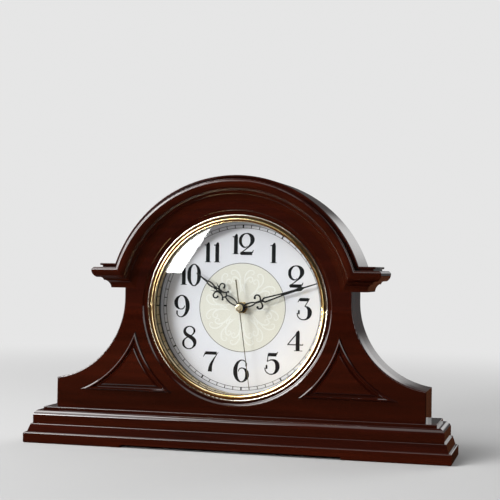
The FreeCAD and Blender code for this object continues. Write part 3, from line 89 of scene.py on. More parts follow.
# Shader expressions: a Wire is one socket, and sums on it add their Math nodes
class Wire:
    def __init__(self, tree, socket=None):
        self.tree = tree
        self.socket = socket

    def node(self, kind, settings=None, inputs=None, output=0):
        made = self.tree.nodes.new(kind)
        for key, value in (settings or {}).items():
            if key == "stops":
                ramp = made.color_ramp.elements
                while len(ramp) < len(value):
                    ramp.new(value[len(ramp) - 1][0])
                for stop, (spot, colour) in zip(ramp, value):
                    stop.position = spot
                    stop.color = (*colour, 1)
            else:
                setattr(made, key, value)
        for key, value in (inputs or {}).items():
            if isinstance(value, Wire):
                self.tree.links.new(value.socket, made.inputs[key])
            else:
                made.inputs[key].default_value = value
        return Wire(self.tree, made.outputs[output]) if made.outputs else None

    def maths(self, operation, *values):
        return self.node("ShaderNodeMath", {"operation": operation}, dict(enumerate(values)))

    def __add__(self, other):
        return self.maths("ADD", self, other)

    def __radd__(self, other):
        return self.maths("ADD", other, self)

    def __sub__(self, other):
        return self.maths("SUBTRACT", self, other)

    def __rsub__(self, other):
        return self.maths("SUBTRACT", other, self)

    def __mul__(self, other):
        return self.maths("MULTIPLY", self, other)

    def __rmul__(self, other):
        return self.maths("MULTIPLY", other, self)

    def clamped(self):
        return self.node("ShaderNodeClamp", None, {"Value": self})

    def between(self, low, high):
        # 0 below low, 1 above high, smooth in between
        return self.node("ShaderNodeMapRange", {"interpolation_type": "SMOOTHSTEP"},
                         {"Value": self, "From Min": low, "From Max": high})

    def tint(self, low, high):
        # Mixes two colours or colour sockets by this value
        first, second = [value if isinstance(value, Wire) else (*value, 1)
                         for value in (low, high)]
        inputs = {colourMix["factor"]: self, colourMix["first"]: first,
                  colourMix["second"]: second}
        return self.node("ShaderNodeMix", {"data_type": "RGBA"}, inputs, colourMix["result"])


def finish(name, fixed, varying):
    # A surface with fixed values on its sockets, and varying ones that a function works out
    made = bpy.data.materials.new(name)
    made.use_nodes = True
    tree = made.node_tree
    surface = tree.nodes["Principled BSDF"]
    for key, value in fixed.items():
        surface.inputs[key].default_value = value
    for key, value in varying(Wire(tree)).items():
        tree.links.new(value.socket, surface.inputs[key])
    return made


def bareTree(holder):
    # Empties the nodes of a material or a world
    holder.use_nodes = True
    holder.node_tree.nodes.clear()
    return Wire(holder.node_tree)


def place(wire, centre=(0, 0, 0), scale=(1, 1, 1)):
    # Object coordinates, moved to a centre and stretched
    where = wire.node("ShaderNodeTexCoord", output="Object")
    moved = wire.node("ShaderNodeVectorMath", {"operation": "SUBTRACT"}, {0: where, 1: centre})
    return wire.node("ShaderNodeVectorMath", {"operation": "MULTIPLY"}, {0: moved, 1: scale})


def component(vector, index):
    return vector.node("ShaderNodeSeparateXYZ", None, {"Vector": vector}, output=index)


def length(vector):
    return vector.node("ShaderNodeVectorMath", {"operation": "LENGTH"}, {0: vector},
                       output="Value")


def noise(wire, vector, scale, detail=3.0, rough=0.5, twist=0.0):
    return wire.node("ShaderNodeTexNoise", None,
                     {"Vector": vector, "Scale": scale, "Detail": detail, "Roughness": rough,
                      "Distortion": twist})


def bump(wire, height, strength, distance):
    return wire.node("ShaderNodeBump", None,
                     {"Height": height, "Strength": strength, "Distance": distance})


# A soft mottle at the scale of a hand
handMottle = {"scale": 40.0, "detail": 4.0, "rough": 0.55}


def wear(wire, centre=(0, 0, 0)):
    return noise(wire, place(wire, centre), **handMottle)


# Mahogany under a red-brown lacquer, with noise scales across and along its grain
wood = {
    "tones": [(0.30, (0.0095, 0.0017, 0.0008)), (0.52, (0.024, 0.0034, 0.0014)),
              (0.72, (0.043, 0.0058, 0.0021))],
    "grain": {"across": 150.0, "along": 9.0},
    "figure": {"scale": 1.0, "detail": 5.0, "rough": 0.55, "twist": 0.35},
    "figureShare": 0.45,
    "ribbonStretch": 0.16,
    "ribbon": {"scale": 1.0, "detail": 2.0, "rough": 0.5, "twist": 0.8},
    "ribbonShare": 0.55,
    "pores": {"across": 1500.0, "along": 55.0},
    "pore": {"scale": 1.0, "detail": 2.0, "rough": 0.6},
    "poreEdges": (0.63, 0.72),
    "poreTone": (0.0095, 0.0017, 0.0008),
    "poreShare": 0.5,
    "roughness": 0.34,
    "roughSpread": 0.14,
    "ripple": {"scale": 14.0, "detail": 1.0, "rough": 0.4},
    "relief": {"strength": 0.05, "distance": 0.004},
    "fixed": {"Coat Weight": 1.0, "Coat IOR": 1.5, "Specular IOR Level": 0.0},
}
# Axis of the grain and roughness of the coat: the bent boards are rubbed down to satin
boards = {
    "case_wood": (0, 0.035),
    "case_wood_upright": (2, 0.17),
    "case_wood_arch": (0, 0.09),
}


def lacquer(name, along, coatRoughness):
    def stretched(scales, share=1.0):
        return tuple(scales["along" if axis == along else "across"] * share for axis in range(3))

    def varying(wire):
        figure = noise(wire, place(wire, scale=stretched(wood["grain"])), **wood["figure"])
        ribbonScale = stretched(wood["grain"], wood["ribbonStretch"])
        ribbon = noise(wire, place(wire, scale=ribbonScale), **wood["ribbon"])
        pore = noise(wire, place(wire, scale=stretched(wood["pores"])), **wood["pore"])
        tone = figure * wood["figureShare"] + ribbon * wood["ribbonShare"]
        base = wire.node("ShaderNodeValToRGB", {"stops": wood["tones"]}, {"Fac": tone})
        darkPore = pore.between(*wood["poreEdges"]) * wood["poreShare"]
        ripple = noise(wire, place(wire), **wood["ripple"])
        return {
            "Base Color": darkPore.tint(base, wood["poreTone"]),
            "Roughness": wood["roughness"] + tone * wood["roughSpread"],
            "Normal": bump(wire, ripple, **wood["relief"]),
        }
    return finish(name, {**wood["fixed"], "Coat Roughness": coatRoughness}, varying)


# The back's stained board, dull and flecked
backBoard = {
    "dark": (0.020, 0.0075, 0.005),
    "pale": (0.038, 0.015, 0.010),
    "stretch": (1, 1, 0.35),
    "fleck": {"scale": 900.0, "detail": 4.0, "rough": 0.7},
    "fleckShare": 0.6,
    "cloud": {"scale": 12.0},
    "cloudShare": 0.4,
    "toneEdges": (0.3, 0.7),
    "roughness": 0.62,
    "roughSpread": 0.2,
    "relief": {"strength": 0.12, "distance": 0.0006},
    "fixed": {"Specular IOR Level": 0.35},
}


def stainedBoard():
    def varying(wire):
        fleck = noise(wire, place(wire, scale=backBoard["stretch"]), **backBoard["fleck"])
        cloud = noise(wire, place(wire), **backBoard["cloud"])
        tone = fleck * backBoard["fleckShare"] + cloud * backBoard["cloudShare"]
        return {
            "Base Color": tone.between(*backBoard["toneEdges"]).tint(
                backBoard["dark"], backBoard["pale"]),
            "Roughness": backBoard["roughness"] + fleck * backBoard["roughSpread"],
            "Normal": bump(wire, fleck, **backBoard["relief"]),
        }
    return finish("back_board", backBoard["fixed"], varying)


# Bezel: gold band, with a painted highlight on the pale lip and painted shade in the darker gold
# groove, told apart by radius
bezelLook = {
    "lipFoot": 92.9 * mm,
    "bandEdge": 90.8 * mm,
    "edgeWidth": 0.08 * mm,
    # The lip's pale colour is a painted highlight, and the groove's darker gold is painted shade
    "lip": (0.88, 0.84, 0.74),
    "groove": (0.60, 0.44, 0.19),
    "band": (0.74, 0.53, 0.22),
    "bandPale": (0.86, 0.70, 0.40),
    "mottleEdges": (0.35, 0.65),
    "roughness": 0.14,
    "grooveSmoother": 0.04,
    "roughSpread": 0.06,
    "brush": {"scale": 260.0, "detail": 2.0},
    "relief": {"strength": 0.02, "distance": 0.0002},
    "fixed": {"Metallic": 1.0},
}


def dialRadius(wire):
    return length(place(wire, tuple(dialCentre), (1, 0, 1)))


def gildedBezel():
    def varying(wire):
        radius = dialRadius(wire)
        soft, lipFoot, bandEdge = [bezelLook[key] for key in ("edgeWidth", "lipFoot", "bandEdge")]
        # Masks for the painted highlight on the lip and the painted shade in the groove
        isLipHighlight = radius.between(lipFoot - soft, lipFoot)
        isGrooveShade = radius.between(bandEdge, bandEdge + soft) * (1 - isLipHighlight)
        mottle = wear(wire, tuple(dialCentre))
        brush = noise(wire, place(wire, tuple(dialCentre)), **bezelLook["brush"])
        gold = mottle.between(*bezelLook["mottleEdges"]).tint(
            bezelLook["band"], bezelLook["bandPale"])
        return {
            # Paints a highlight on the lip and shade in the groove over the mottled gold band
            "Base Color": isGrooveShade.tint(isLipHighlight.tint(gold, bezelLook["lip"]), bezelLook["groove"]),
            "Roughness": (bezelLook["roughness"] - isGrooveShade * bezelLook["grooveSmoother"]
                          + mottle * bezelLook["roughSpread"]),
            "Normal": bump(wire, brush, **bezelLook["relief"]),
        }
    return finish("bezel_brass", bezelLook["fixed"], varying)


# Dial: satin silver-white with a cream centre, and bare metal behind the paint
dialLook = {
    "white": (0.80, 0.79, 0.85),
    "whiteLow": (0.765, 0.755, 0.815),
    "cream": (0.775, 0.75, 0.68),
    "creamLow": (0.745, 0.715, 0.64),
    "bareMetal": (0.40, 0.40, 0.41),
    "bareMetalLow": (0.33, 0.33, 0.34),
    "centreRadius": 45.7 * mm,
    "edge": 0.1 * mm,
    "paintDepth": 0.3 * mm,
    "grain": {"scale": 2200.0, "detail": 2.0, "rough": 0.6},
    "grainShare": 0.3,
    "cloud": {"scale": 30.0},
    "cloudShare": 0.7,
    "toneEdges": (0.3, 0.7),
    "roughness": 0.38,
    "roughSpread": 0.15,
    "relief": {"strength": 0.05, "distance": 0.0002},
    "fixed": {"Specular IOR Level": 0.4},
}


def dialPaint():
    def varying(wire):
        radius = dialRadius(wire)
        edge, centreRadius = dialLook["edge"], dialLook["centreRadius"]
        paintBack = dialFace + dialLook["paintDepth"]
        grain = noise(wire, place(wire), **dialLook["grain"])
        cloud = noise(wire, place(wire), **dialLook["cloud"])
        tone = grain * dialLook["grainShare"] + cloud * dialLook["cloudShare"]
        tone = tone.between(*dialLook["toneEdges"])
        outer = tone.tint(dialLook["whiteLow"], dialLook["white"])
        inner = tone.tint(dialLook["creamLow"], dialLook["cream"])
        isOuter = radius.between(centreRadius - edge, centreRadius)
        isBare = component(place(wire), 1).between(paintBack, paintBack + edge)
        bare = tone.tint(dialLook["bareMetalLow"], dialLook["bareMetal"])
        return {
            "Base Color": isBare.tint(isOuter.tint(inner, outer), bare),
            "Roughness": dialLook["roughness"] + grain * dialLook["roughSpread"],
            "Normal": bump(wire, grain, **dialLook["relief"]),
        }
    return finish("dial_paint", dialLook["fixed"], varying)


# Glass: clear, with a mirror's share that grows towards the rim
glass = {
    "index": 1.5,
    "clear": (0.975, 0.985, 0.98),
    "smear": {"scale": 26.0},
    "mirrorShare": 0.96,
    "smearShare": 0.04,
}


def clearGlass():
    made = bpy.data.materials.new("clear_glass")
    wire = bareTree(made)
    smear = noise(wire, place(wire), **glass["smear"])
    isInside = wire.node("ShaderNodeNewGeometry", output="Backfacing")
    fresnel = wire.node("ShaderNodeFresnel", None, {"IOR": glass["index"]})
    mirror = fresnel * (glass["mirrorShare"] + smear * glass["smearShare"])
    share = mirror * (1 - isInside)
    through = wire.node("ShaderNodeBsdfTransparent", None, {"Color": (*glass["clear"], 1)})
    shine = wire.node("ShaderNodeBsdfAnisotropic", None, {"Roughness": 0.0})
    both = wire.node("ShaderNodeMixShader", None, {0: share, 1: through, 2: shine})
    wire.node("ShaderNodeOutputMaterial", None, {"Surface": both})
    return made


# Plain surfaces are mottled between two colours and have a fine grain
plainKinds = {
    "metal": {
        "fixed": {"Metallic": 1.0},
        "mottleEdges": (0.3, 0.7),
        "grainScale": 600.0,
        "grainRough": 0.5,
        "roughSpread": 0.12,
        "relief": 0.04,
        "reliefDistance": 0.0003,
    },
    "moulded": {
        "fixed": {},
        "mottleEdges": (0.25, 0.75),
        "grainScale": 1400.0,
        "grainRough": 0.6,
        "roughSpread": 0.12,
        "relief": 0.06,
        "reliefDistance": 0.0004,
    },
}
# name: kind, darker colour, paler colour, roughness, what differs from its kind
plainLooks = {
    "black_rubber": ("moulded", (0.012, 0.012, 0.012), (0.02, 0.02, 0.02), 0.7, {}),
    "black_plastic": ("moulded", (0.012, 0.012, 0.013), (0.02, 0.02, 0.021), 0.42,
                      {"relief": 0.12}),
    "steel": ("metal", (0.52, 0.52, 0.52), (0.64, 0.63, 0.62), 0.28, {}),
    "hinge_brass": ("metal", (0.60, 0.42, 0.16), (0.74, 0.55, 0.25), 0.22, {}),
    "ferrite": ("moulded", (0.045, 0.044, 0.046), (0.065, 0.063, 0.063), 0.5,
                {"relief": 0.15}),
    "gear_plastic": ("moulded", (0.70, 0.68, 0.62), (0.80, 0.79, 0.74), 0.4, {}),
    "knob_plastic": ("moulded", (0.42, 0.02, 0.012), (0.52, 0.03, 0.018), 0.34, {}),
    "copper_wire": ("metal", (0.50, 0.17, 0.06), (0.66, 0.28, 0.12), 0.3,
                    {"grainScale": 3000.0}),
    "board_green": ("moulded", (0.012, 0.10, 0.035), (0.02, 0.14, 0.05), 0.35, {}),
    "chip_resin": ("moulded", (0.008, 0.008, 0.008), (0.013, 0.013, 0.013), 0.2,
                   {"relief": 0.02}),
    "crystal_can": ("metal", (0.68, 0.68, 0.69), (0.76, 0.76, 0.77), 0.16, {}),
    "battery_skin": ("moulded", (0.05, 0.05, 0.058), (0.07, 0.07, 0.078), 0.3,
                     {"relief": 0.03, "fixed": {"Metallic": 0.4}}),
    "hand_black": ("moulded", (0.005, 0.005, 0.005), (0.010, 0.010, 0.010), 0.3,
                   {"relief": 0.05, "fixed": {"Specular IOR Level": 0.25}}),
    "hand_bronze": ("metal", (0.10, 0.085, 0.055), (0.14, 0.12, 0.08), 0.34, {}),
    "cap_brass": ("metal", (0.84, 0.72, 0.48), (0.92, 0.84, 0.62), 0.26,
                  {"roughSpread": 0.06}),
    "dial_ink": ("moulded", (0.005, 0.005, 0.006), (0.009, 0.009, 0.010), 0.5,
                 {"relief": 0.03, "fixed": {"Specular IOR Level": 0.1}}),
    "ring_ink": ("moulded", (0.16, 0.15, 0.13), (0.21, 0.20, 0.18), 0.45, {"relief": 0.03}),
    "scroll_ink": ("moulded", (0.82, 0.805, 0.755), (0.85, 0.835, 0.79), 0.45,
                   {"relief": 0.03}),
}


def plainSurface(name, kind, darker, paler, roughness, differing):
    look = {**plainKinds[kind], **differing}

    def varying(wire):
        mottle = wear(wire)
        grain = noise(wire, place(wire), look["grainScale"], rough=look["grainRough"])
        return {
            "Base Color": mottle.between(*look["mottleEdges"]).tint(darker, paler),
            "Roughness": roughness + grain * look["roughSpread"],
            "Normal": bump(wire, grain, look["relief"], look["reliefDistance"]),
        }
    return finish(name, look["fixed"], varying)


finishes = {
    **{name: lacquer(name, *board) for name, board in boards.items()},
    "back_board": stainedBoard(),
    "bezel_brass": gildedBezel(),
    "clear_glass": clearGlass(),
    "dial_paint": dialPaint(),
    **{name: plainSurface(name, *look) for name, look in plainLooks.items()},
}
# Pieces with a finish of their own in place of their slot's
ownFinishes = {
    "left_side_wall": "case_wood_upright",
    "right_side_wall": "case_wood_upright",
    "arch_top": "case_wood_arch",
    "hub_cap": "cap_brass",
}
slots = {piece["node"]: piece["material_slot"] for piece in frame["record"]["subparts"]}
for name, node in frame["nodes"].items():
    node.data.materials.clear()
    node.data.materials.append(finishes[ownFinishes.get(name, slots[name])])
print("finishes ready:", len(finishes))

# The hands' pierced strokes are enamelled, which fills them out a little
enamel = {"hour_hand": 0.22 * mm, "minute_hand": 0.33 * mm}
enamelWeld = 0.001 * mm


def enamelled(node, thickness):
    weld = node.modifiers.new("weld", "WELD")
    weld.merge_threshold = enamelWeld
    coat = node.modifiers.new("enamel", "DISPLACE")
    coat.strength = thickness
    coat.mid_level = 0.0


for name, thickness in enamel.items():
    enamelled(frame["nodes"][name], thickness)
print("hands enamelled")


# Printing on the dial
def onDial(name, mesh, look):
    piece = newObject(name, mesh)
    mesh.materials.clear()
    mesh.materials.append(finishes[look])
    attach(piece, "case")


# The last two are shares of the height: how far an hour's two figures stand from its middle,
# and how far an hour is moved to the side
printing = {
    "thickness": 0.05 * mm,
    "weld": 1e-7,
    "height": 20.8 * mm,
    "middle": 0.5,
    "straight": "147",
    "roundShare": 1.055,
    "radius": 65.3 * mm,
    "weight": 1.2,
    "steps": 8,
    "ringSteps": 180,
    "dotStep": 0.5,
    "dotEnd": 0.8,
    "apart": {"10": 0.27, "11": 0.24, "12": 0.28},
    "nudge": {"10": -0.07, "12": -0.09, "4": 0.12},
}

# Strokes of the figures: (across, up, half width), in shares of their height
thin = 0.022
stem = 0.084
figures = {
    "0": {
        "loops": [
            [(0, 1.01, thin), (-0.15, 0.90, 0.045), (-0.235, 0.70, 0.072), (-0.245, 0.5, 0.078),
             (-0.235, 0.30, 0.072), (-0.15, 0.10, 0.045), (0, -0.01, thin), (0.15, 0.10, 0.045),
             (0.235, 0.30, 0.072), (0.245, 0.5, 0.078), (0.235, 0.70, 0.072), (0.15, 0.90, 0.045)],
        ],
    },
    "1": {
        "bars": [
            [(0.0, 0.0, stem), (0.0, 0.86, stem), (0.042, 0.995, 0.032)],
            [(-0.16, 0.014, 0.014), (0.16, 0.014, 0.014)],
            [(-0.175, 0.86, thin), (0.0, 0.86, thin)],
        ],
    },
    "2": {
        "curves": [
            [(0.04, 0.425, 0.012), (-0.02, 0.365, 0.016), (-0.11, 0.355, 0.03), (-0.24, 0.44, 0.05),
             (-0.315, 0.66, 0.062), (-0.24, 0.88, 0.05), (-0.02, 1.0, thin), (0.20, 0.90, 0.065),
             (0.275, 0.70, 0.088), (0.20, 0.50, 0.055), (0.0, 0.30, 0.026), (-0.33, 0.05, 0.022)],
        ],
        "bars": [
            [(-0.30, 0.066, 0.066), (0.27, 0.066, 0.066)],
            [(0.27, 0.10, 0.03), (0.33, 0.23, 0.012)],
        ],
    },
    "3": {
        "bars": [
            [(-0.22, 0.93, 0.066), (0.21, 0.93, 0.066)],
            [(-0.21, 0.95, 0.03), (-0.31, 0.80, 0.012)],
            [(0.25, 0.985, 0.016), (0.03, 0.615, 0.020)],
        ],
        "curves": [
            [(0.025, 0.61, 0.016), (0.13, 0.585, 0.040), (0.235, 0.47, 0.074), (0.262, 0.32, 0.088),
             (0.20, 0.12, 0.060), (0.08, 0.02, 0.030), (-0.06, 0.0, thin), (-0.22, 0.06, thin),
             (-0.315, 0.19, thin), (-0.325, 0.31, thin)],
        ],
        "dots": [(-0.25, 0.345, 0.086)],
    },
    "4": {
        "bars": [
            [(0.0, 0.0, stem), (0.0, 0.88, stem), (0.05, 1.0, 0.028)],
            [(0.05, 0.98, 0.022), (-0.50, 0.315, 0.022)],
            [(-0.52, 0.305, thin), (0.27, 0.305, thin)],
            [(0.26, 0.305, 0.012), (0.26, 0.37, 0.012)],
            [(-0.18, 0.014, 0.014), (0.24, 0.014, 0.014)],
        ],
    },
    "5": {
        "bars": [
            [(-0.19, 0.915, 0.068), (0.20, 0.915, 0.068)],
            [(0.19, 0.93, 0.035), (0.27, 1.05, 0.012)],
            [(-0.19, 0.95, 0.02), (-0.235, 0.58, 0.02)],
        ],
        "curves": [
            [(-0.235, 0.58, 0.016), (-0.12, 0.65, 0.022), (0.03, 0.665, 0.036),
             (0.18, 0.585, 0.070), (0.255, 0.37, 0.088), (0.19, 0.14, 0.060), (0.07, 0.03, 0.030),
             (-0.06, 0.0, thin), (-0.22, 0.05, thin), (-0.325, 0.17, thin), (-0.345, 0.30, thin)],
        ],
        "dots": [(-0.268, 0.335, 0.086)],
    },
    "6": {
        "curves": [
            [(0.25, 0.86, thin), (0.16, 0.97, thin), (0.03, 1.01, thin), (-0.14, 0.92, 0.045),
             (-0.26, 0.70, 0.075), (-0.29, 0.47, 0.086), (-0.25, 0.24, 0.075), (-0.14, 0.06, 0.045),
             (0.01, -0.01, thin), (0.16, 0.06, 0.040), (0.26, 0.20, 0.068), (0.285, 0.35, 0.080),
             (0.22, 0.54, 0.055), (0.10, 0.63, 0.024), (-0.01, 0.635, thin), (-0.10, 0.58, thin),
             (-0.145, 0.47, 0.014)],
        ],
        "dots": [(0.235, 0.80, 0.078)],
    },
    "7": {
        "bars": [
            [(-0.30, 0.915, 0.066), (0.29, 0.915, 0.066)],
            [(-0.29, 0.93, 0.035), (-0.40, 0.72, 0.012)],
            [(-0.165, 0.012, 0.012), (0.03, 0.012, 0.012)],
        ],
        "curves": [
            [(0.375, 0.97, 0.012), (0.26, 0.80, 0.020), (0.11, 0.56, 0.040), (-0.01, 0.30, 0.066),
             (-0.055, 0.0, 0.092)],
        ],
    },
    "8": {
        "loops": [
            [(0.01, 1.035, thin), (-0.15, 0.975, 0.036), (-0.235, 0.83, 0.056),
             (-0.19, 0.69, 0.066), (0.0, 0.565, 0.072), (0.19, 0.44, 0.080), (0.275, 0.27, 0.070),
             (0.20, 0.07, 0.038), (0.0, -0.025, thin), (-0.21, 0.05, 0.034), (-0.30, 0.24, 0.050),
             (-0.22, 0.43, 0.030), (0.0, 0.565, thin), (0.17, 0.67, 0.026), (0.25, 0.83, 0.042),
             (0.17, 0.975, 0.030)],
        ],
    },
}


def addStroke(data, points, kind, spot, size=1.0, turned=False, middle=0.0):
    # kind is BEZIER for a smooth stroke and POLY for a straight one
    isSmooth = kind == "BEZIER"
    spline = data.splines.new(kind)
    places = spline.bezier_points if isSmooth else spline.points
    places.add(len(points) - 1)
    sign = -1 if turned else 1
    for target, (across, up, half) in zip(places, points):
        spotted = (spot[0] + sign * across * size, spot[1] + sign * (up - middle) * size, 0)
        target.radius = half * size * printing["weight"]
        if isSmooth:
            target.co = spotted
            target.handle_left_type = target.handle_right_type = "AUTO"
        else:
            target.co = (*spotted, 1)
    if isSmooth:
        spline.radius_interpolation = "CARDINAL"
    spline.resolution_u = printing["steps"]
    return spline


def addFigure(data, figure, spot, size):
    # The 9 is a 6 turned over
    turned = figure == "9"
    strokes = figures["6" if turned else figure]
    placing = (spot, size, turned, printing["middle"])
    for points in strokes.get("bars", []):
        addStroke(data, points, "POLY", *placing)
    for points in strokes.get("curves", []):
        addStroke(data, points, "BEZIER", *placing)
    for points in strokes.get("loops", []):
        addStroke(data, points, "BEZIER", *placing).use_cyclic_u = True
    for across, up, radius in strokes.get("dots", []):
        step, end = radius * printing["dotStep"], radius * printing["dotEnd"]
        points = [(across - step, up, end), (across, up, radius), (across + step, up, end)]
        addStroke(data, points, "BEZIER", *placing)


def pressedFlat(data, thickness):
    # The round strokes become a flat print that stands on the dial's face
    holder = newObject("strokes", data)
    bpy.context.view_layer.update()
    shaped = holder.evaluated_get(bpy.context.evaluated_depsgraph_get())
    mesh = bpy.data.meshes.new_from_object(shaped)
    bpy.data.objects.remove(holder)
    tall = max(abs(v.co.z) for v in mesh.vertices)
    mesh.transform(Matrix.Diagonal((1, 1, thickness / tall, 1)))
    mesh.transform(Matrix.Rotation(math.tau / 4, 4, "X"))
    mesh.transform(Matrix.Translation(dialCentre))
    mesh.shade_flat()
    return mesh


def strokeData(name):
    # With a bevel depth of 1 each point's radius is its stroke's half width
    data = bpy.data.curves.new(name, "CURVE")
    data.dimensions = "3D"
    data.bevel_mode = "ROUND"
    data.bevel_depth = 1.0
    data.bevel_resolution = 1
    data.use_fill_caps = True
    return data


def dialNumerals():
    data = strokeData("numerals")
    size = printing["height"]
    for hour in range(1, hours + 1):
        text = str(hour)
        angle = math.tau * hour / hours
        across, up = printing["radius"] * math.sin(angle), printing["radius"] * math.cos(angle)
        apart = printing["apart"].get(text, 0) * size
        nudge = printing["nudge"].get(text, 0) * size
        for index, figure in enumerate(text):
            shift = (2 * index + 1 - len(text)) * apart + nudge
            tall = size if figure in printing["straight"] else size * printing["roundShare"]
            addFigure(data, figure, (across + shift, up), tall)
    mesh = pressedFlat(data, printing["thickness"])
    onDial("dial_numerals", mesh, "dial_ink")


track = {
    "outer": 85.2 * mm,
    "inner": 82.0 * mm,
    "line": 0.45 * mm,
    "tick": 0.75 * mm,
    "hourTick": 1.5 * mm,
}


def spunRing(shape, radius, width, thickness):
    # A flat band struck round the dial's centre
    half = width / 2
    corners = [shape.verts.new((radius + across, depth, 0)) for across, depth in
               ((-half, 0), (half, 0), (half, -thickness), (-half, -thickness))]
    face = shape.faces.new(corners)
    bmesh.ops.spin(shape, geom=[face, *face.edges, *face.verts], cent=(0, 0, 0), axis=(0, 1, 0),
                   angle=math.tau, steps=printing["ringSteps"], use_merge=True, use_duplicate=False)
    # Takes out the inner faces at the start and at half a turn. Those between stay, unseen
    inside = [f for f in shape.faces if all(abs(v.co.z) < half for v in f.verts)]
    bmesh.ops.delete(shape, geom=inside, context="FACES_ONLY")


def finishedMesh(name, shape):
    bmesh.ops.remove_doubles(shape, verts=shape.verts, dist=printing["weld"])
    bmesh.ops.recalc_face_normals(shape, faces=shape.faces)
    bmesh.ops.translate(shape, verts=shape.verts, vec=dialCentre)
    mesh = bpy.data.meshes.new(name)
    shape.to_mesh(mesh)
    shape.free()
    return mesh


def minuteTrack():
    shape = bmesh.new()
    outer, inner, thickness = track["outer"], track["inner"], printing["thickness"]
    for radius in (outer, inner):
        spunRing(shape, radius, track["line"], thickness)
    for minute in range(minutes):
        onHour = minute % (minutes // hours) == 0
        width = track["hourTick"] if onHour else track["tick"]
        made = bmesh.ops.create_cube(shape, size=1)["verts"]
        bmesh.ops.scale(shape, verts=made, vec=(width, thickness, outer - inner))
        bmesh.ops.translate(shape, verts=made, vec=(0, -thickness / 2, (outer + inner) / 2))
        bmesh.ops.rotate(shape, verts=made, cent=(0, 0, 0),
                         matrix=Matrix.Rotation(math.tau * minute / minutes, 3, "Y"))
    onDial("minute_track", finishedMesh("minute_track", shape), "dial_ink")


ring = {"radius": dialLook["centreRadius"], "line": 0.7 * mm}


def centreRing():
    shape = bmesh.new()
    spunRing(shape, ring["radius"], ring["line"], printing["thickness"])
    onDial("centre_ring", finishedMesh("centre_ring", shape), "ring_ink")


# Faint leaf scrolls on the cream centre, a pair repeated round it: (across, up, half width), mm
scrolls = {
    "repeats": 8,
    "firstTurn": 0.5,
    "steps": 5,
    "thickness": 0.02 * mm,
    "curls": [
        [(2.0, 13.0, 0.25), (5.0, 18.0, 0.5), (7.2, 24.0, 0.7), (6.4, 30.0, 0.6),
         (3.2, 32.4, 0.5), (0.9, 30.6, 0.45), (1.3, 28.0, 0.4), (3.3, 27.6, 0.35),
         (3.9, 29.2, 0.3)],
        [(7.2, 24.0, 0.3), (9.6, 29.0, 0.5), (9.4, 35.0, 0.6), (6.0, 39.0, 0.5),
         (2.8, 38.4, 0.45), (2.4, 36.2, 0.4), (4.2, 35.2, 0.3)],
        [(4.2, 15.5, 0.2), (7.6, 17.2, 0.4), (9.4, 20.2, 0.35), (8.6, 22.2, 0.25)],
    ],
}


def discScrolls():
    data = strokeData("scrolls")
    for index in range(scrolls["repeats"]):
        angle = math.tau * (index + scrolls["firstTurn"]) / scrolls["repeats"]
        turn = Matrix.Rotation(angle, 2)
        for curl in scrolls["curls"]:
            for side in (-1, 1):
                points = []
                for across, up, half in curl:
                    swung = turn @ Vector((side * across * mm, up * mm))
                    points.append((swung.x, swung.y, half * mm))
                addStroke(data, points, "BEZIER", (0, 0)).resolution_u = scrolls["steps"]
    mesh = pressedFlat(data, scrolls["thickness"])
    onDial("disc_scrolls", mesh, "scroll_ink")


dialNumerals()
minuteTrack()
centreRing()
discScrolls()
print("dial printed")


# Studio: a pale floor that fades into the wall, and a world that is darker in front
studio = {
    "floorRadius": 4.0,
    "floorSides": 96,
    "floorFade": (0.5, 1.7),
    "floor": (0.46, 0.46, 0.46),
    "floorMirrored": (0.075, 0.028, 0.014),
    "backdrop": (0.79, 0.79, 0.79),
    "ambient": {"front": 0.06, "back": 0.60, "edges": (-0.3, 0.6)},
    "reflected": {"front": 0.04, "back": 0.14, "edges": (-0.4, 0.8)},
}
# Soft patches that only the polished surfaces mirror: direction, cosines of edge and heart, glow
mirrored = {
    "behind": ((0.105, 0.966, 0.228), 0.985, 0.998, 1.4),
    "above": ((0.0, -0.45, 0.89), 0.87, 0.97, 2.2),
    "left": ((-0.90, -0.12, 0.42), 0.86, 0.95, 11.0),
    "right": ((0.90, -0.30, 0.30), 0.90, 0.97, 3.5),
}
# Window, skylight and lintel stand at the left, with a fill in front and one behind:
# place, aim, size, watts, shown in gloss
softboxes = {
    "window": ((-1.42, -2.144, 0.786), None, (1.0, 1.2), 118.0, True),
    "front": ((0.5, -2.4, 0.9), (0, 0, 0.14), (1.2, 0.8), 3.0, False),
    "skylight": ((-1.35, -0.60, 1.75), (0, 0, 0.05), (1.2, 1.4), 58.0, True),
    "lintel": ((-0.80, -1.50, 1.25), (-0.1, 0, 0.05), (0.8, 0.55), 8.0, True),
    "rear": ((0.9, 2.3, 1.3), (0, 0, 0.12), (1.4, 1.0), 34.0, False),
}
# The window has no aim: its width and height run in these directions
windowAcross = Vector((0.993, 0.115, 0))
windowUp = Vector((0.080, -0.697, 0.713))


def softbox(name, spot, aim, size, power, shown):
    data = bpy.data.lights.new(name, "AREA")
    data.shape = "RECTANGLE"
    data.size, data.size_y = size
    data.energy = power
    holder = newObject(name, data)
    if aim:
        turn = (Vector(aim) - Vector(spot)).to_track_quat("-Z", "Y").to_matrix()
    else:
        turn = Matrix((windowAcross, windowUp, windowAcross.cross(windowUp))).transposed()
    holder.matrix_world = Matrix.Translation(spot) @ turn.to_4x4()
    holder.visible_camera = False
    holder.visible_glossy = shown


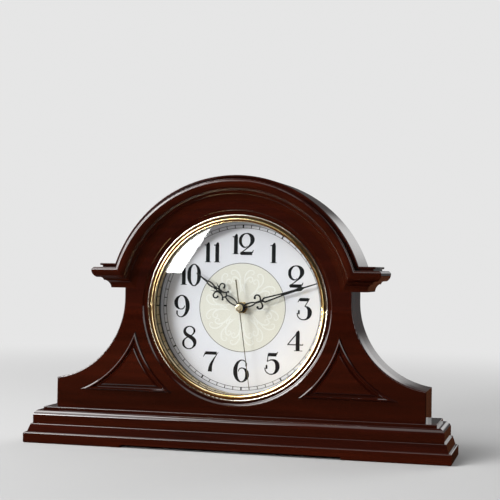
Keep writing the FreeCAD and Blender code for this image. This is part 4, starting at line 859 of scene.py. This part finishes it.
def makeFloor():
    shape = bmesh.new()
    bmesh.ops.create_circle(shape, cap_ends=True, segments=studio["floorSides"],
                            radius=studio["floorRadius"])
    mesh = bpy.data.meshes.new("floor")
    shape.to_mesh(mesh)
    shape.free()
    floor = newObject("floor", mesh)
    made = bpy.data.materials.new("floor")
    wire = bareTree(made)
    fade = length(wire.node("ShaderNodeTexCoord", output="Object")).between(*studio["floorFade"])
    isGlossy = wire.node("ShaderNodeLightPath", output="Is Glossy Ray")
    matt = wire.node("ShaderNodeBsdfDiffuse", None,
                     {"Color": isGlossy.tint(studio["floor"], studio["floorMirrored"])})
    glow = wire.node("ShaderNodeEmission", None, {"Color": (*studio["backdrop"], 1)})
    isCamera = wire.node("ShaderNodeLightPath", output="Is Camera Ray")
    both = wire.node("ShaderNodeMixShader", None, {0: fade * isCamera, 1: matt, 2: glow})
    wire.node("ShaderNodeOutputMaterial", None, {"Surface": both})
    mesh.materials.append(made)


def makeWorld():
    # Plain to the eye, dim with soft patches in the lacquer's mirror
    world = bpy.data.worlds.new("studio")
    bpy.context.scene.world = world
    wire = bareTree(world)
    isCamera, isThrough, isGlossy = [
        wire.node("ShaderNodeLightPath", output=f"Is {kind} Ray")
        for kind in ("Camera", "Transmission", "Glossy")]
    seen = (isCamera + isThrough).clamped()
    where = wire.node("ShaderNodeTexCoord", output="Generated")
    depth = component(where, 1)

    def rising(level):
        # From its value in front to its value behind
        front, back = level["front"], level["back"]
        return depth.between(*level["edges"]) * (back - front) + front

    shade = rising(studio["reflected"])
    for direction, edge, heart, glow in mirrored.values():
        nearness = wire.node("ShaderNodeVectorMath", {"operation": "DOT_PRODUCT"},
                             {0: where, 1: Vector(direction).normalized()}, output="Value")
        shade = shade + nearness.between(edge, heart) * glow
    ambient = rising(studio["ambient"])
    strength = seen + (1 - seen) * (isGlossy * shade + (1 - isGlossy) * ambient)
    back = wire.node("ShaderNodeBackground", None,
                     {"Color": (*studio["backdrop"], 1), "Strength": strength})
    wire.node("ShaderNodeOutputWorld", None, {"Surface": back})


makeFloor()
makeWorld()
for name, settings in softboxes.items():
    softbox(name, *settings)
bpy.context.scene.view_settings.view_transform = "Standard"
print("studio ready")
